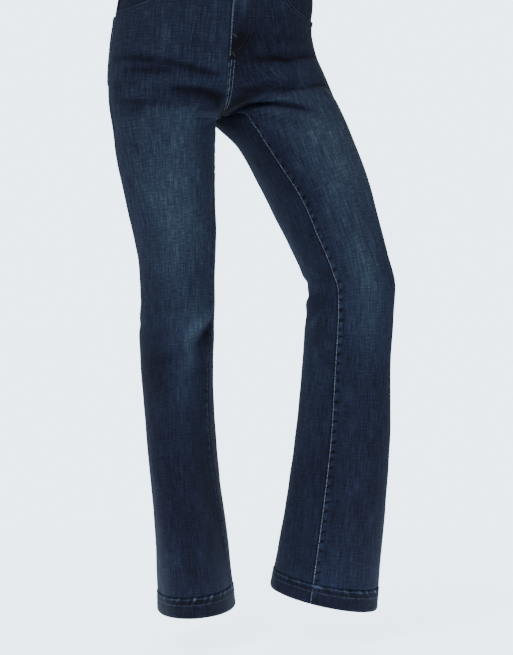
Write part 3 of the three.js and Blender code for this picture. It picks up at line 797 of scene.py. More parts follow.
def capsule():
    """One stitch, 1 long and 1 thick: its points and its faces."""
    points, faces = [(CAPSULE_RINGS[0][0], 0, 0)], []
    for x, r in CAPSULE_RINGS[1:-1]:
        for k in range(CAPSULE_SIDES):
            turn = 2 * math.pi * k / CAPSULE_SIDES
            points.append((x, 0.5 * r * math.cos(turn), 0.5 * r * math.sin(turn)))
    points.append((CAPSULE_RINGS[-1][0], 0, 0))
    last = len(points) - 1
    for k in range(CAPSULE_SIDES):
        n = (k + 1) % CAPSULE_SIDES
        faces.append((0, 1 + n, 1 + k))
        for ring in range(len(CAPSULE_RINGS) - 3):
            a, b = 1 + ring * CAPSULE_SIDES, 1 + (ring + 1) * CAPSULE_SIDES
            faces += [(a + k, a + n, b + n), (a + k, b + n, b + k)]
        faces.append((last, last - CAPSULE_SIDES + k, last - CAPSULE_SIDES + n))
    return np.array(points), np.array(faces)


class Sewing:
    """Collects the stitches of one piece of the garment and joins them in one mesh."""

    def __init__(self, settings):
        self.settings = settings
        self.places, self.directions, self.normals, self.sizes = [], [], [], []

    def add(self, places, directions, normals, length, width, height):
        self.places.append(places)
        self.directions.append(unit(directions))
        self.normals.append(unit(normals))
        self.sizes.append(np.broadcast_to([length, width, height], (len(places), 3)))

    def row(self, surface, first, second, pitch=None, thick=1.0):
        """Stitches along a line, given as its places on a surface that returns points and normals."""
        pitch = pitch or self.settings.stitch_pitch / MM
        fine = np.linspace(0, 1, max(20, 12 * len(first)))
        own = np.linspace(0, 1, len(first))
        first, second = np.interp(fine, own, first), np.interp(fine, own, second)
        points, normals = surface(first, second)
        run = np.concatenate([[0], np.cumsum(np.linalg.norm(np.diff(points, axis=0), axis=1))])
        count = int(run[-1] / pitch)
        if count < 1:
            return
        uneven = 0.16 * pitch * np.sin(np.arange(count) * 2.399 + run[-1])
        middle = (np.arange(count) + 0.5) * run[-1] / count + uneven
        at = lambda s, values: np.stack([np.interp(s, run, values[:, k]) for k in range(3)], -1)
        half = 0.38 * pitch
        self.add(
            at(middle, points),
            at(middle + half, points) - at(middle - half, points),
            at(middle, normals),
            0.8 * pitch,
            thick * self.settings.thread_width / MM,
            0.8 * thick * self.settings.thread_width / MM,
        )

    def tack(self, surface, first, second, width=2.4):
        """A bar tack: close stitches across a short line."""
        t = np.linspace(0, 1, 40)
        line = first[0] + (first[1] - first[0]) * t, second[0] + (second[1] - second[0]) * t
        points, normals = surface(*line)
        length = np.linalg.norm(np.diff(points, axis=0), axis=1).sum()
        count = max(4, int(length / 0.62))
        pick = np.linspace(0, 39, count).astype(int)
        along = unit(np.gradient(points, axis=0)[pick])
        lean = np.where(np.arange(count) % 2, 0.22, -0.22)[:, None]
        across = unit(np.cross(along, normals[pick])) + along * lean
        self.add(points[pick] + unit(normals[pick]) * 0.15, across, normals[pick], width, 0.62, 0.9)

    def make(self, name, material="topstitch thread"):
        points, faces = capsule()
        x, n = np.concatenate(self.directions), np.concatenate(self.normals)
        y = unit(np.cross(n, x))
        n = np.cross(x, y)
        size = np.concatenate(self.sizes)
        local = points[None] * size[:, None]
        places = np.concatenate(self.places)[:, None]
        world = places + local[..., :1] * x[:, None] + local[..., 1:2] * y[:, None]
        world = world + local[..., 2:] * n[:, None]
        shifts = (np.arange(len(x)) * len(points))[:, None, None]
        return piece_from(name, world * MM, (faces[None] + shifts).reshape(-1, 3), [material])


def on_cloth(side, out):
    """A surface for stitches: out is how far they lie from the panels' face, one number or a function."""

    def surface(down, across):
        lift = out(down, across) if callable(out) else out
        return cloth(side, down, across, lift), form_normal(side, down, place_on_form(side, down, across))

    return surface


def on_panel(side, lift=0.12):
    return on_cloth(side, lambda down, across: seam_relief(side, down, across) + lift)


def round_waist(out):
    def surface(turn, down):
        left = form_normal(1, down, np.clip(turn, 0, 1))
        right = form_normal(-1, down, np.clip(2 - turn, 0, 1))
        return waist(turn, down, out), np.where((turn <= 1)[:, None], left, right)

    return surface


def beside(side, down, across, distance):
    """A line on the cloth moved sideways by some millimetres, to the right of its direction."""
    reach = girth(side, down, across)
    x = across * reach
    dx, dy = np.gradient(x), np.gradient(down)
    size = np.maximum(np.hypot(dx, dy), 1e-9)
    return down + dx / size * distance, (x - dy / size * distance) / reach


class Shader:
    """Builds a material's nodes, one call a node."""

    def __init__(self, name):
        self.material = bpy.data.materials.new(name)
        self.material.use_nodes = True
        self.tree = self.material.node_tree
        self.tree.nodes.clear()

    def node(self, kind, inputs=None, output=0, **settings):
        node = self.tree.nodes.new("ShaderNode" + kind)
        for key, value in settings.items():
            setattr(node, key, value)
        for key, value in (inputs or {}).items():
            if isinstance(value, bpy.types.NodeSocket):
                self.tree.links.new(value, node.inputs[key])
            else:
                node.inputs[key].default_value = value
        return node.outputs[output]

    def math(self, operation, first, second):
        return self.node("Math", {0: first, 1: second}, operation=operation)

    def plus(self, total, source, share, middle=0.5):
        """total + share * (source - middle)."""
        part = self.node("Math", {0: source, 1: share, 2: -share * middle}, operation="MULTIPLY_ADD")
        return self.math("ADD", total, part)

    def noise(self, place, scale, detail=2.0, roughness=0.5):
        """Noise whose grain is given for each direction, in cells a metre."""
        vector = self.node("Mapping", {"Vector": place, "Scale": scale})
        inputs = {"Vector": vector, "Scale": 1.0, "Detail": detail, "Roughness": roughness}
        return self.node("TexNoise", inputs)

    def ramp(self, factor, colours):
        output = self.node("ValToRGB", {"Fac": factor})
        elements = output.node.color_ramp.elements
        elements[0].position, elements[1].position = colours[0][0], colours[-1][0]
        for place, _ in colours[1:-1]:
            elements.new(place)
        for element, (_, colour) in zip(elements, colours):
            element.color = (*linear(colour), 1)
        return output

    def surface(self, inputs):
        return self.finish(self.node("BsdfPrincipled", inputs))

    def finish(self, shader):
        self.tree.links.new(shader, self.tree.nodes.new("ShaderNodeOutputMaterial").inputs["Surface"])
        return self.material


def linear(colour):
    return tuple(c / 255 / 12.92 if c <= 10 else ((c / 255 + 0.055) / 1.055) ** 2.4 for c in colour)


def denim_material(name, colours, contrast, sheen):
    """Twill with uneven yarns: streaks along the warp, shorter ones along the weft, and a diagonal rib."""
    s = Shader(name)
    cloth_place = s.node("UVMap", uv_map="cloth")
    # The cloth's fading together with the shade painted into it, one number a point.
    fade = s.node("Attribute", output="Fac", attribute_name="fade")
    warp_fine = s.noise(cloth_place, (620, 34, 1), 2.0, 0.6)
    warp_wide = s.noise(cloth_place, (210, 12, 1), 2.0, 0.55)
    weft = s.noise(cloth_place, (60, 420, 1), 2.0, 0.6)
    mottle = s.noise(cloth_place, (20, 13, 1), 3.0, 0.55)
    grain = s.noise(cloth_place, (800, 560, 1), 1.0, 0.5)
    level = s.plus(fade, warp_fine, 0.72 * contrast)
    level = s.plus(level, warp_wide, 0.28 * contrast)
    level = s.plus(level, weft, 0.48 * contrast)
    level = s.plus(level, mottle, 0.26 * contrast)
    level = s.plus(level, grain, 0.5 * contrast)
    colour = s.ramp(level, colours)
    twill_place = s.node("Mapping", {"Vector": cloth_place, "Scale": (1, 0.62, 1)})
    ribs = {"Vector": twill_place, "Scale": 620.0, "Distortion": 1.2, "Detail": 1.0}
    twill = s.node("TexWave", ribs, output=1, bands_direction="DIAGONAL")
    height = s.plus(twill, warp_fine, 1.1)
    height = s.plus(height, weft, 0.8)
    height = s.plus(height, grain, 0.7)
    bump = s.node("Bump", {"Strength": 0.5, "Distance": 0.00035, "Height": height})
    rough = s.plus(0.86, mottle, 0.12)
    return s.surface(
        {
            "Base Color": colour,
            "Roughness": rough,
            "Specular IOR Level": 0.12,
            "Sheen Weight": sheen,
            "Sheen Roughness": 0.45,
            "Sheen Tint": (*linear((150, 165, 190)), 1),
            "Normal": bump,
        }
    )


def thread_material(name, colours):
    """Two-ply thread, twisted, with worn lighter stretches."""
    s = Shader(name)
    place = s.node("TexCoord", output="Object")
    worn = s.noise(place, (70, 70, 70), 2.0)
    twist = s.noise(place, (2600, 2600, 2600), 1.0)
    level = s.plus(s.plus(0.5, worn, 1.3), twist, 0.5)
    bump = s.node("Bump", {"Strength": 0.4, "Distance": 0.0002, "Height": twist})
    colour = s.ramp(level, colours)
    return s.surface({"Base Color": colour, "Roughness": 0.72, "Specular IOR Level": 0.3, "Normal": bump})


def brass_material(name):
    """Aged brass with uneven stains and fine scratches."""
    s = Shader(name)
    place = s.node("TexCoord", output="Object")
    stain = s.noise(place, (420, 420, 420), 3.0, 0.6)
    scratch = s.noise(place, (900, 5200, 900), 2.0)
    level = s.plus(s.plus(0.5, stain, 0.9), scratch, 0.3)
    colour = s.ramp(level, ((0.15, (78, 56, 34)), (0.5, (142, 108, 66)), (0.85, (190, 156, 108))))
    bump = s.node("Bump", {"Strength": 0.25, "Distance": 0.0001, "Height": scratch})
    rough = s.plus(0.42, stain, 0.3)
    return s.surface({"Base Color": colour, "Metallic": 1.0, "Roughness": rough, "Normal": bump})


def backdrop_material(name):
    """An evenly lit pale backdrop."""
    s = Shader(name)
    return s.finish(s.node("Emission", {"Color": (*BACKDROP_GLOW, 1), "Strength": 1.0}))


def floor_material(name):
    """A pale floor as bright as the backdrop, which fades out with the distance from the jeans."""
    s = Shader(name)
    place = s.node("TexCoord", output="Object")
    distance = s.node("VectorMath", {0: place}, output="Value", operation="LENGTH")
    reach = {"Value": distance, "From Min": 0.3, "From Max": 1.5}
    clear = s.node("MapRange", reach, interpolation_type="SMOOTHSTEP")
    pale = {"Base Color": (*linear(BACKDROP), 1), "Roughness": 0.7, "Specular IOR Level": 0.2}
    paint = s.node("BsdfPrincipled", pale)
    glow = s.node("Emission", {"Color": (*BACKDROP_GLOW, 1), "Strength": FLOOR_GLOW})
    lit = s.node("AddShader", {0: paint, 1: glow})
    return s.finish(s.node("MixShader", {0: clear, 1: lit, 2: s.node("BsdfTransparent")}))


def size_setting(name, description, default):
    return FloatProperty(
        name=name, description=description, default=default, unit="LENGTH", subtype="DISTANCE"
    )


def light_setting(name, description, default):
    return FloatProperty(name=name, description=description, default=default, unit="POWER")


class JeansSettings(bpy.types.PropertyGroup):
    """The sizes that a user may change before building."""

    cloth_thickness: size_setting("Cloth thickness", "One layer of denim", 0.0013)
    band_thickness: size_setting("Waistband thickness", "The folded waistband", 0.0025)
    hem_thickness: size_setting("Hem thickness", "The folded hem", 0.0026)
    facing_thickness: size_setting("Facing thickness", "The cloth inside the pockets", 0.001)
    stitch_pitch: size_setting("Stitch pitch", "From one stitch to the next", 0.0033)
    thread_width: size_setting("Thread width", "How thick the topstitching thread is", 0.0007)
    key_light: light_setting("Key light", "The power of the large light", 110.0)
    fill_light: light_setting("Fill light", "The power of the light opposite the key", 26.0)
    back_light: light_setting("Back light", "The power of the light behind", 70.0)


class PieceOperator:
    """What the operators share: each builds its pieces with the scene's settings."""

    bl_options = {"REGISTER", "UNDO"}

    def execute(self, context):
        self.build(context.scene.jeans_settings)
        return {"FINISHED"}


class JEANS_OT_materials(PieceOperator, bpy.types.Operator):
    """Make the denim, thread and brass materials"""

    bl_idname = "jeans.materials"
    bl_label = "Materials"

    def build(self, settings):
        denim_material("washed denim", DENIM_COLOURS, 1.0, 0.07)
        denim_material("denim reverse side", REVERSE_COLOURS, 0.8, 0.1)
        for name, colours in THREAD_COLOURS.items():
            thread_material(name, colours)
        brass_material("aged brass")


class JEANS_OT_front_panels(PieceOperator, bpy.types.Operator):
    """Make the two front leg panels"""

    bl_idname = "jeans.front_panels"
    bl_label = "Front panels"

    def build(self, settings):
        for side, word in WORDS.items():
            grid = panel_grid(side, panel_columns(0, SIDE_SEAM, scoop=True), scoop_line)
            thickness = settings.cloth_thickness
            cloth_piece(f"denim_front_{word}", grid, f"front_{word}", thickness, ["waistband"])


class JEANS_OT_back_panels(PieceOperator, bpy.types.Operator):
    """Make the two back leg panels and the yokes above them"""

    bl_idname = "jeans.back_panels"
    bl_label = "Back panels and yokes"

    def build(self, settings):
        for side, word in WORDS.items():
            grid = panel_grid(side, panel_columns(SIDE_SEAM, 1), yoke_line)
            thickness = settings.cloth_thickness
            cloth_piece(f"denim_back_{word}", grid, f"back_{word}", thickness, [f"yoke_{word}"])
            a, b = np.meshgrid(panel_columns(SIDE_SEAM, 1), fine_shares(60, 0))
            down = yoke_line(side, a) * b
            inner, outer, _, _ = seam_parts(side, down, a)
            below = yoke_line(side, a) - down
            out = 0.5 * band(below, 1, 9, 1.8) + rolled(b, length=60) - near(inner, 1.5) - near(outer, 1.5)
            out += 0.2 * puckers(a * 480, 60) * near(below - 5, 5)
            fade = 0.14 * near(below - 1, 1.5) + 0.1 * puckers(a * 480, 60) * near(below - 5, 5)
            yoke = seated_grid(side, down, a, out + 0.25, fade)
            cloth_piece(f"denim_yoke_{word}", yoke, f"yoke_{word}", thickness, ["waistband"])


class JEANS_OT_facings(PieceOperator, bpy.types.Operator):
    """Make the cloth inside the front pockets' openings"""

    bl_idname = "jeans.facings"
    bl_label = "Pocket facings"

    def build(self, settings):
        for side, word in WORDS.items():
            a, b = np.meshgrid(steps(SCOOP_START - 0.03, SIDE_SEAM, 44), steps(0, 1, 36))
            down = (scoop_line(side, a) + FACING_DEPTH[side]) * b
            grid = seated_grid(side, down, a, -DENIM - 1.0, -0.06)
            node, thickness = f"pocket_facing_{word}", settings.facing_thickness
            name = f"denim_facing_{word}"
            cloth_piece(name, grid, node, thickness, ["waistband"])


class JEANS_OT_fly(PieceOperator, bpy.types.Operator):
    """Make the fly's lap on the left front"""

    bl_idname = "jeans.fly"
    bl_label = "Fly"

    @staticmethod
    def place(a, b):
        bend = np.clip((b - 0.68) / 0.32, 0, 1)
        return FLY_LENGTH * b, a * FLY_WIDTH * np.sqrt(1 - 0.985 * bend * bend)

    def build(self, settings):
        b = np.unique(np.concatenate([steps(0, 0.86, 44), 1 - 0.14 * np.cos(steps(0, 0.5, 22) * np.pi)]))
        a, b = np.meshgrid(fine_shares(38, 0), b)
        down, across = self.place(a, b)
        out = 1.25 + rolled(a, b * 0 + 0.5, 38, 99, drop=0.9, reach=1.4) - 0.9 * smooth((b - 0.965) / 0.035)
        out += 0.2 * puckers(down, 12) * near(a * 38 - 4, 5)
        fade = 0.55 * near(a * 38 - 0.6, 1.3) + 0.24 * near(a - 0.48, 0.12) * smooth((90 - down) / 50)
        fade += 0.12 * puckers(down, 12) * near(a * 38 - 4, 6) - 0.2 * smooth((down - 95) / 20)
        grid = seated_grid(1, down, across, out, fade)
        cloth_piece("denim_fly", grid, "fly", settings.cloth_thickness, ["front_left"])


class JEANS_OT_back_pockets(PieceOperator, bpy.types.Operator):
    """Make the two patch pockets on the back"""

    bl_idname = "jeans.back_pockets"
    bl_label = "Back pockets"

    @staticmethod
    def place(side, a, b):
        length = POCKET_LENGTH[side] + POCKET_POINT[side] * (1 - np.abs(2 * a - 1))
        return POCKET_TOP + length * b, POCKET_MIDDLE + (a - 0.5) * POCKET_WIDTH * (1 - POCKET_TAPER * b)

    def build(self, settings):
        for side, word in WORDS.items():
            a, b = np.meshgrid(fine_shares(145, 0), fine_shares(125, 0))
            down, across = self.place(side, a, b)
            from_top, from_edge = b * 120, np.minimum(np.minimum(a, 1 - a) * 140, (1 - b) * 120)
            out = 2.1 + rolled(b, a, 120, 140, drop=0.9, reach=1.5) + 0.45 * band(from_top, 0.5, 17, 1.6)
            wave = puckers(a * 140 + b * 118, 33)
            out += 0.3 * band(from_edge, 0.8, 9, 1.6) + 0.25 * wave * near(from_edge - 5, 5)
            fade = 0.24 * near(from_edge - 0.8, 1.6) + 0.16 * near(from_top - 0.6, 1.6)
            fade += 0.14 * wave * near(from_edge - 5, 6) + 0.12 * np.exp(-((from_top - 17) ** 2) / 6)
            grid = seated_grid(side, down, across, out, fade)
            node, thickness = f"back_pocket_{word}", settings.cloth_thickness
            cloth_piece(f"denim_{node}", grid, node, thickness, [f"back_{word}"])


class JEANS_OT_hems(PieceOperator, bpy.types.Operator):
    """Make the folded hems"""

    bl_idname = "jeans.hems"
    bl_label = "Hems"

    def build(self, settings):
        for side, word in WORDS.items():
            end = HEM_END[side]
            a, b = np.meshgrid(steps(0, 1, 300)[:-1], fine_shares(HEM_HEIGHT, 0, 0.7))
            down = end - HEM_HEIGHT * (1 - b)
            from_top = b * HEM_HEIGHT
            round_hem = a * girth(side, down, a)
            rope = puckers(0.7 * (round_hem - 0.9 * from_top), 70 * side)
            strength = near(from_top - 4, 5) + 0.5 * near(from_top - 13, 4)
            seam = near(np.minimum(a, 1 - a) * 520, 1.5) + near((a - SIDE_SEAM) * 520, 1.5)
            out = HEM_PROUD + rolled(b, length=HEM_HEIGHT, drop=0.9, reach=1.6)
            out = out + 0.42 * rope * strength - 0.6 * seam
            out += 0.8 * np.exp(-(((a * 520 - 6) / 7) ** 2) - ((from_top - 6) / 9) ** 2)
            fade = 0.26 * rope * strength + (0.24 + 0.36 * rope) * near(from_top - 3, 3.2) - 0.17
            fade += 0.12 * near(from_top - 13, 1.8) - 0.14 * near(from_top - 8, 2.6)
            fade += 0.12 * np.exp(-(((1 - b) * HEM_HEIGHT / 1.8) ** 2)) - 0.1 * seam
            beside_seam = a * 520
            fade += 0.5 * np.exp(-(((beside_seam - 5) / 7) ** 2) - ((from_top - 3) / 4) ** 2)
            fade += 0.16 * np.exp(-(((beside_seam - 6) / 3) ** 2) - ((from_top - 15) / 6) ** 2)
            grid = Grid(cloth(side, down, a, out), wear_and_shade(side, down, a) + fade, down, side < 0, ring=True)
            node, panels = f"hem_{word}", [f"front_{word}", f"back_{word}"]
            thickness = settings.hem_thickness
            cloth_piece(f"denim_{node}", grid, node, thickness, panels)


class JEANS_OT_waistband(PieceOperator, bpy.types.Operator):
    """Make the waistband, whose right end passes under its left end"""

    bl_idname = "jeans.waistband"
    bl_label = "Waistband"

    def build(self, settings):
        turn, b = np.meshgrid(steps(0, 2, 330), fine_shares(BAND_HEIGHT, 0, 0.9))
        tuck = -(BAND_FOLD + 1.1) * smooth((turn - 1.93) / 0.06)
        down = -BAND_HEIGHT * (1 - b)
        run = turn * 370
        out = BAND_PROUD + rolled(b, length=BAND_HEIGHT, drop=0.8, reach=1.8) + 0.35 * np.sin(np.pi * b)
        out = out + 0.16 * puckers(run + 12 * b, 5)
        under = np.linspace(0, UNDERLAP, 14)[1:]
        under_turn, under_b = np.meshgrid(under, b[:, 0])
        under_out = BAND_PROUD - (BAND_FOLD + 1.1) + rolled(under_b, length=BAND_HEIGHT, drop=0.8, reach=1.8)
        under_down = -BAND_HEIGHT * (1 - under_b)
        under_points = cloth(1, under_down, under_turn, under_out)
        points = np.concatenate([waist(turn, down, out + tuck), under_points], 1)
        fade = BASE_WEAR + 0.12 * near(np.minimum(b, 1 - b) * BAND_HEIGHT, 2) + 0.1 * puckers(run + 12 * b, 5)
        fade = np.concatenate([fade, np.full(under_b.shape, BASE_WEAR)], 1)
        grid = Grid(points, fade, np.concatenate([down, under_down], 1))
        thickness = settings.band_thickness
        cloth_piece("denim_waistband", grid, "waistband", thickness)


class JEANS_OT_belt_loops(PieceOperator, bpy.types.Operator):
    """Make the five belt loops"""

    bl_idname = "jeans.belt_loops"
    bl_label = "Belt loops"

    places = {"front_left": 0.3, "side_left": 0.66, "back": 1.0, "side_right": 1.34, "front_right": 1.7}
    profile = ((-39, 0), (-35, 0), (-31.5, 1.9), (-24, 2.2), (-9, 2.2), (-2.5, 0.9), (2, 0), (9, 0))

    def build(self, settings):
        downs, outs = np.array(self.profile).T
        rows = steps(downs[0], downs[-1], 40)
        padded = np.pad(np.interp(rows, downs, outs), 2, mode="edge")
        rise = np.convolve(padded, [0.1, 0.2, 0.4, 0.2, 0.1], "valid")
        across, down = np.meshgrid(steps(-0.5, 0.5, 12), rows)
        out = BAND_PROUD + 0.7 + DENIM + rise[:, None] - 0.55 * (2 * np.abs(across)) ** 8
        out = out + 0.25 * np.cos(across * 4 * np.pi)
        fade = BASE_WEAR + 0.25 * (2 * np.abs(across)) ** 6 + 0.06 * rise[:, None]
        for word, turn in self.places.items():
            grid = Grid(waist(turn + across * LOOP_WIDTH / 400, down, out), fade, down)
            node, thickness = f"belt_loop_{word}", settings.cloth_thickness
            cloth_piece(f"denim_{node}", grid, node, thickness, ["waistband"])


class JEANS_OT_button(PieceOperator, bpy.types.Operator):
    """Make the waistband's button"""

    bl_idname = "jeans.button"
    bl_label = "Button"

    profile = (
        (0, 0), (4, 0), (4.0, 1.2), (4.4, 1.6), (7.6, 1.7), (8.2, 1.9), (8.5, 2.3), (8.5, 2.8), (8.2, 3.3),
        (7.7, 3.6), (7.1, 3.6), (6.6, 3.3), (6.3, 3.05), (5.8, 3.0), (4.4, 3.3), (3.0, 3.55), (1.5, 3.7),
        (0, 3.75),
    )  # fmt: skip

    def build(self, settings):
        count = 72
        turns = np.arange(count) * 2 * np.pi / count
        radius, height = np.array(self.profile[1:-1]).T
        radius, height = radius[:, None], np.repeat(height[:, None], count, 1)
        ring = np.stack([radius * np.cos(turns), radius * np.sin(turns), height], -1)
        index = np.arange(ring.shape[0] * count).reshape(-1, count)
        index = np.concatenate([index, index[:, :1]], 1)
        quads = np.stack([index[:-1, :-1], index[:-1, 1:], index[1:, 1:], index[1:, :-1]], -1)
        quads = quads.reshape(-1, 4).tolist()
        caps = [index[0, :-1][::-1].tolist(), index[-1, :-1].tolist()]
        down = np.array(-BAND_HEIGHT / 2)
        place = cloth(1, down, BUTTON_PLACE, BAND_PROUD + 0.6)
        normal = form_normal(1, down, np.array(BUTTON_PLACE))
        side = unit(np.cross(normal, [0, 0, 1]))
        basis = np.stack([side, np.cross(normal, side), normal])
        points = place + ring.reshape(-1, 3) @ basis
        mesh = bpy.data.meshes.new("brass_button")
        mesh.from_pydata((points * MM).tolist(), [], quads + caps)
        mesh.materials.append(bpy.data.materials["aged brass"])
        mesh.polygons.foreach_set("use_smooth", [True] * len(mesh.polygons))
        mesh.update()
        piece = bpy.data.objects.new("brass_button", mesh)
        bpy.context.scene.collection.objects.link(piece)
        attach(piece, "root")
        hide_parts("button")


class JEANS_OT_stitching(PieceOperator, bpy.types.Operator):
    """Sew the rows of topstitching and the bar tacks"""

    bl_idname = "jeans.stitching"
    bl_label = "Stitching"

    def build(self, settings):
        for side, word in WORDS.items():
            self.legs(settings, side, word)
            self.hips(settings, side, word)
        self.fly(settings)
        self.waist(settings)
        self.tacks(settings)

    def legs(self, settings, side, word):
        end = HEM_END[side]
        sewing = Sewing(settings)
        down = steps(FORK + SHADED_INSEAM[side], end - HEM_HEIGHT, 200)
        sewing.row(on_panel(side), down, 1.9 / girth(side, down, 0 * down), thick=1.35)
        down = steps(end - HEM_HEIGHT + 1, end - 1, 20)
        sewing.row(on_cloth(side, HEM_PROUD), down, 1.9 / girth(side, down, 0 * down), thick=1.35)
        sewing.make(f"stitching_inseam_{word}", "topstitch thread" if side > 0 else "tonal thread")
        sewing = Sewing(settings)
        around = steps(0, 1, 240)
        for below in (3.2, 13.0):
            sewing.row(on_cloth(side, HEM_PROUD + 0.1), around * 0 + end - HEM_HEIGHT + below, around)
        sewing.make(f"stitching_hem_{word}", "tonal thread")
        if side > 0:
            # Painted shade: near the fork, the left inseam and the middle seam's rows are sewn in dark thread
            # where the crotch's fold shades them.
            sewing = Sewing(settings)
            down = steps(FORK + 4, FORK + SHADED_INSEAM[side], 20)
            sewing.row(on_panel(side), down, 1.9 / girth(side, down, 0 * down))
            for across in (4.6, 10.0):
                down = steps(FORK - 19, FORK - 8, 12)
                sewing.row(on_panel(side), down, across / girth(side, down, 0 * down))
            sewing.make("stitching_fork", "dark thread")

    def hips(self, settings, side, word):
        sewing = Sewing(settings)
        u = 1 - np.cos(steps(0, 0.5, 160) * np.pi)
        across = SCOOP_START + u * (SIDE_SEAM - SCOOP_START)
        for distance in (2.4, 8.0):
            down, at = beside(side, scoop_line(side, across), across, distance)
            keep = (down > 1) & (at < SIDE_SEAM - 0.004)
            sewing.row(on_panel(side), down[keep], at[keep])
        sewing.make(f"stitching_pocket_{word}", "tonal thread")
        sewing = Sewing(settings)
        across = steps(SIDE_SEAM + 0.004, 0.996, 120)
        for above in (2.4, 7.6):
            sewing.row(on_cloth(side, 0.85), yoke_line(side, across) - above, across)
        down = steps(2, 150, 60)
        relief = lambda d, a: np.where(d < yoke_line(side, a), 0.35, seam_relief(side, d, a) + 0.12)
        back = on_cloth(side, relief)
        sewing.row(back, down, SIDE_SEAM + 3.2 / girth(side, down, down * 0 + 1))
        pocket = JEANS_OT_back_pockets.place
        for inset in (2.4, 8.4):
            x, y = inset / 145, inset / 125
            a = np.concatenate([np.full(60, x), steps(x, 1 - x, 80), np.full(60, 1 - x)])
            b = np.concatenate([steps(0.01, 1 - y, 59), np.full(81, 1 - y), steps(1 - y, 0.01, 59)])
            sewing.row(on_cloth(side, 2.5), *pocket(side, a, b))
        for below in (3, 15):
            a = steps(0.02, 0.98, 60)
            sewing.row(on_cloth(side, 2.75), *pocket(side, a, a * 0 + below / 125))
        if side > 0:
            self.middle(sewing)
        sewing.make(f"stitching_hip_{word}")

    def middle(self, sewing):
        """The rows along the front and back middle seams and the fly."""
        for across in (4.6, 10.0):
            down = steps(FLY_LENGTH + 3, FORK - 20, 60)
            sewing.row(on_panel(1), down, across / girth(1, down, down * 0))
        for across in (2.4, 8.0):
            down = steps(YOKE_AT_BACK, FORK - 8, 80)
            sewing.row(on_panel(1), down, 1 - across / girth(1, down, down * 0 + 1))
            down = steps(3, YOKE_AT_BACK - 9, 30)
            sewing.row(on_cloth(1, 0.4), down, 1 - across / girth(1, down, down * 0 + 1))
        down = steps(2, FLY_LENGTH - 4, 80)
        sewing.row(on_cloth(1, 1.35), down, 1.7 / girth(1, down, down * 0))

    def fly(self, settings):
        sewing = Sewing(settings)
        for inset in (2.6, 8.4):
            b = np.concatenate([steps(0.01, 0.7, 50), 0.7 + 0.3 * np.sin(steps(0, 0.5, 60)[1:] * np.pi)])
            down, across = JEANS_OT_fly.place(np.ones(len(b)), b)
            down, across = beside(1, down, across, inset)
            keep = across > 0.006
            sewing.row(on_cloth(1, 1.4), down[keep], across[keep])
        sewing.make("stitching_fly", "dark thread")

    def waist(self, settings):
        sewing = Sewing(settings)
        turn = steps(0.012, 1.985, 400)
        for down in (-3.0, -BAND_HEIGHT + 3.0):
            on_top = turn < 1.93
            sewing.row(round_waist(BAND_PROUD + 0.3), turn[on_top], turn[on_top] * 0 + down)
        ends = steps(-BAND_HEIGHT + 3, -3, 30)
        sewing.row(round_waist(BAND_PROUD + 0.45), ends * 0 + 0.011, ends)
        for place in JEANS_OT_belt_loops.places.values():
            for across in (-0.3, 0.3):
                down = steps(-36, 7, 30)
                downs, outs = np.array(JEANS_OT_belt_loops.profile).T
                rise = np.interp(down, downs, outs)
                surface = round_waist_profile(BAND_PROUD + 0.7 + DENIM + 0.1, rise)
                sewing.row(surface, down * 0 + place + across * LOOP_WIDTH / 400, down, 3.0)
        sewing.make("stitching_waist")

    def tacks(self, settings):
        sewing = Sewing(settings)
        for place in JEANS_OT_belt_loops.places.values():
            for down in (-37, 6.5):
                wide = 0.42 * LOOP_WIDTH / 400
                sewing.tack(round_waist(BAND_PROUD + 0.9 + DENIM), (place - wide, place + wide), (down, down))
        for side in (-1, 1):
            panel = on_panel(side, 0.3)
            sewing.tack(panel, (SCOOP_DROP[side] - 1, SCOOP_DROP[side] + 8), (0.476, 0.478))
            sewing.tack(panel, (1.5, 9), (SCOOP_START - 0.012, SCOOP_START - 0.012))
            for a in (0.02, 0.98):
                down, across = JEANS_OT_back_pockets.place(side, np.array([a, a]), np.array([0.01, 0.085]))
                sewing.tack(on_cloth(side, 2.75), tuple(down), tuple(across))
        fly = on_cloth(1, 1.6)
        sewing.tack(fly, (102, 108), (0.008, 0.022))
        sewing.tack(fly, (FLY_LENGTH - 9, FLY_LENGTH - 2), (0.012, 0.02))
        sewing.make("bar_tacks", "tack thread")
        hole = Sewing(settings)
        turns = steps(0, 2 * np.pi, 70)[:-1]
        down = -BAND_HEIGHT / 2 + 2.4 * np.sin(turns)
        turn = BUTTON_PLACE + 0.016 + 0.026 * np.cos(turns)
        points, normals = round_waist(BAND_PROUD + 0.45)(turn, down)
        centre = points.mean(0)
        hole.add(points, points - centre, normals, 2.2, 0.6, 0.8)
        hole.make("buttonhole_stitches")


def round_waist_profile(out, rise):
    """A surface round the waist whose height follows a profile down the band."""

    def surface(turn, down):
        height = out + np.interp(np.linspace(0, 1, len(down)), np.linspace(0, 1, len(rise)), rise)
        points, normals = round_waist(0.0)(turn, down)
        return points + normals * height[:, None], normals

    return surface


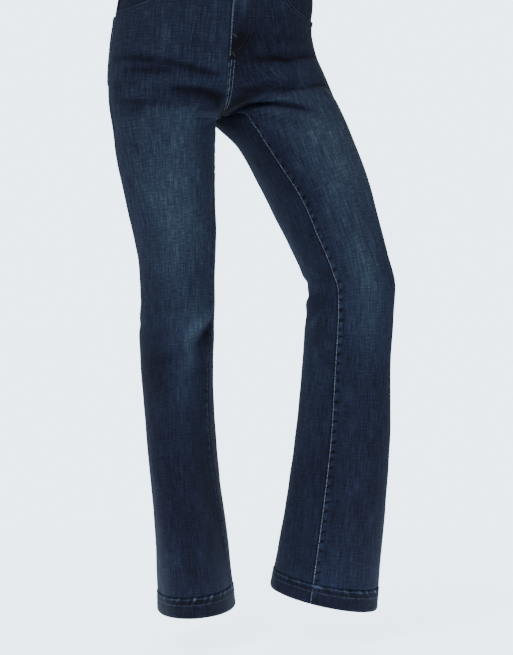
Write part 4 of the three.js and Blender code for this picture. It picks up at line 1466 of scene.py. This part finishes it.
class JEANS_OT_stage(PieceOperator, bpy.types.Operator):
    """Set up the floor, the lights and the camera"""

    bl_idname = "jeans.stage"
    bl_label = "Stage"

    def build(self, settings):
        scene = bpy.context.scene
        floor_material("studio floor")
        count = 96
        turns = [2 * math.pi * k / count for k in range(count)]
        ring = [(1.6 * math.cos(turn), 1.6 * math.sin(turn), 0) for turn in turns]
        mesh = bpy.data.meshes.new("floor")
        mesh.from_pydata(ring, [], [list(range(count))])
        mesh.materials.append(bpy.data.materials["studio floor"])
        floor = bpy.data.objects.new("floor", mesh)
        floor.location = (0.06, 0, FLOOR_LEVEL)
        scene.collection.objects.link(floor)
        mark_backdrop(floor, self.backdrop())
        world = bpy.data.worlds.new("studio")
        world.use_nodes = True
        background = world.node_tree.nodes["Background"]
        background.inputs["Color"].default_value = (*linear(BACKDROP), 1)
        background.inputs["Strength"].default_value = WORLD_LIGHT
        scene.world = world
        self.light("key", (-1.3, -2.4, 2.0), settings.key_light, 1.3)
        self.light("fill", (2.2, -1.8, 0.2), settings.fill_light, 1.4)
        self.light("back", (0.5, 3.4, 1.2), settings.back_light, 1.6)
        camera = bpy.data.objects.new("camera", bpy.data.cameras.new("camera"))
        camera.data.sensor_fit = "VERTICAL"
        camera.data.sensor_height = 36
        camera.data.lens = 150.3
        camera.data.clip_end = 30
        camera.location = CAMERA_PLACE
        line_of_sight = Vector(CAMERA_AIM) - Vector(CAMERA_PLACE)
        camera.rotation_euler = line_of_sight.to_track_quat("-Z", "Y").to_euler()
        scene.collection.objects.link(camera)
        scene.camera = camera

    @staticmethod
    def backdrop():
        """A pale globe round the stage, which the camera sees and which lights nothing."""
        backdrop_material("studio backdrop")
        globe = bmesh.new()
        bmesh.ops.create_uvsphere(globe, u_segments=48, v_segments=24, radius=9)
        mesh = bpy.data.meshes.new("backdrop")
        globe.to_mesh(mesh)
        globe.free()
        mesh.materials.append(bpy.data.materials["studio backdrop"])
        backdrop = bpy.data.objects.new("backdrop", mesh)
        for ray in ("diffuse", "glossy", "transmission", "volume_scatter", "shadow"):
            setattr(backdrop, "visible_" + ray, False)
        bpy.context.scene.collection.objects.link(backdrop)
        return backdrop

    @staticmethod
    def light(name, place, power, size):
        light = bpy.data.lights.new(name, "AREA")
        light.energy = power
        light.size = size
        lamp = bpy.data.objects.new(name, light)
        lamp.location = place
        lamp.rotation_euler = (Vector((0.05, 0, -0.55)) - Vector(place)).to_track_quat("-Z", "Y").to_euler()
        bpy.context.scene.collection.objects.link(lamp)


OPERATORS = (
    JEANS_OT_stage,
    JEANS_OT_materials,
    JEANS_OT_front_panels,
    JEANS_OT_back_panels,
    JEANS_OT_facings,
    JEANS_OT_fly,
    JEANS_OT_back_pockets,
    JEANS_OT_hems,
    JEANS_OT_waistband,
    JEANS_OT_belt_loops,
    JEANS_OT_button,
    JEANS_OT_stitching,
)


class JEANS_PT_builder(bpy.types.Panel):
    """Lists the sizes and the steps that build the jeans"""

    bl_idname = "JEANS_PT_builder"
    bl_label = "Flared jeans"
    bl_space_type = "VIEW_3D"
    bl_region_type = "UI"
    bl_category = "Jeans"

    def draw(self, context):
        settings = context.scene.jeans_settings
        for name in settings.bl_rna.properties.keys():
            if name not in ("rna_type", "name"):
                self.layout.prop(settings, name)
        for operator in OPERATORS:
            self.layout.operator(operator.bl_idname)


def register():
    for cls in (JeansSettings, *OPERATORS, JEANS_PT_builder):
        bpy.utils.register_class(cls)
    bpy.types.Scene.jeans_settings = PointerProperty(type=JeansSettings)


def unregister():
    del bpy.types.Scene.jeans_settings
    for cls in reversed((JeansSettings, *OPERATORS, JEANS_PT_builder)):
        bpy.utils.unregister_class(cls)


def main():
    register()
    for operator in OPERATORS:
        name = operator.bl_idname.split(".")[1]
        if getattr(bpy.ops.jeans, name)() != {"FINISHED"}:
            raise RuntimeError(f"{operator.bl_label} wasn't built")
    boxes = {"cad": CAD_BOUNDS, "visual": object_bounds()}
    {name: [list(map(float, corner)) for corner in box] for name, box in boxes.items()}


if __name__ == "__main__":
    main()
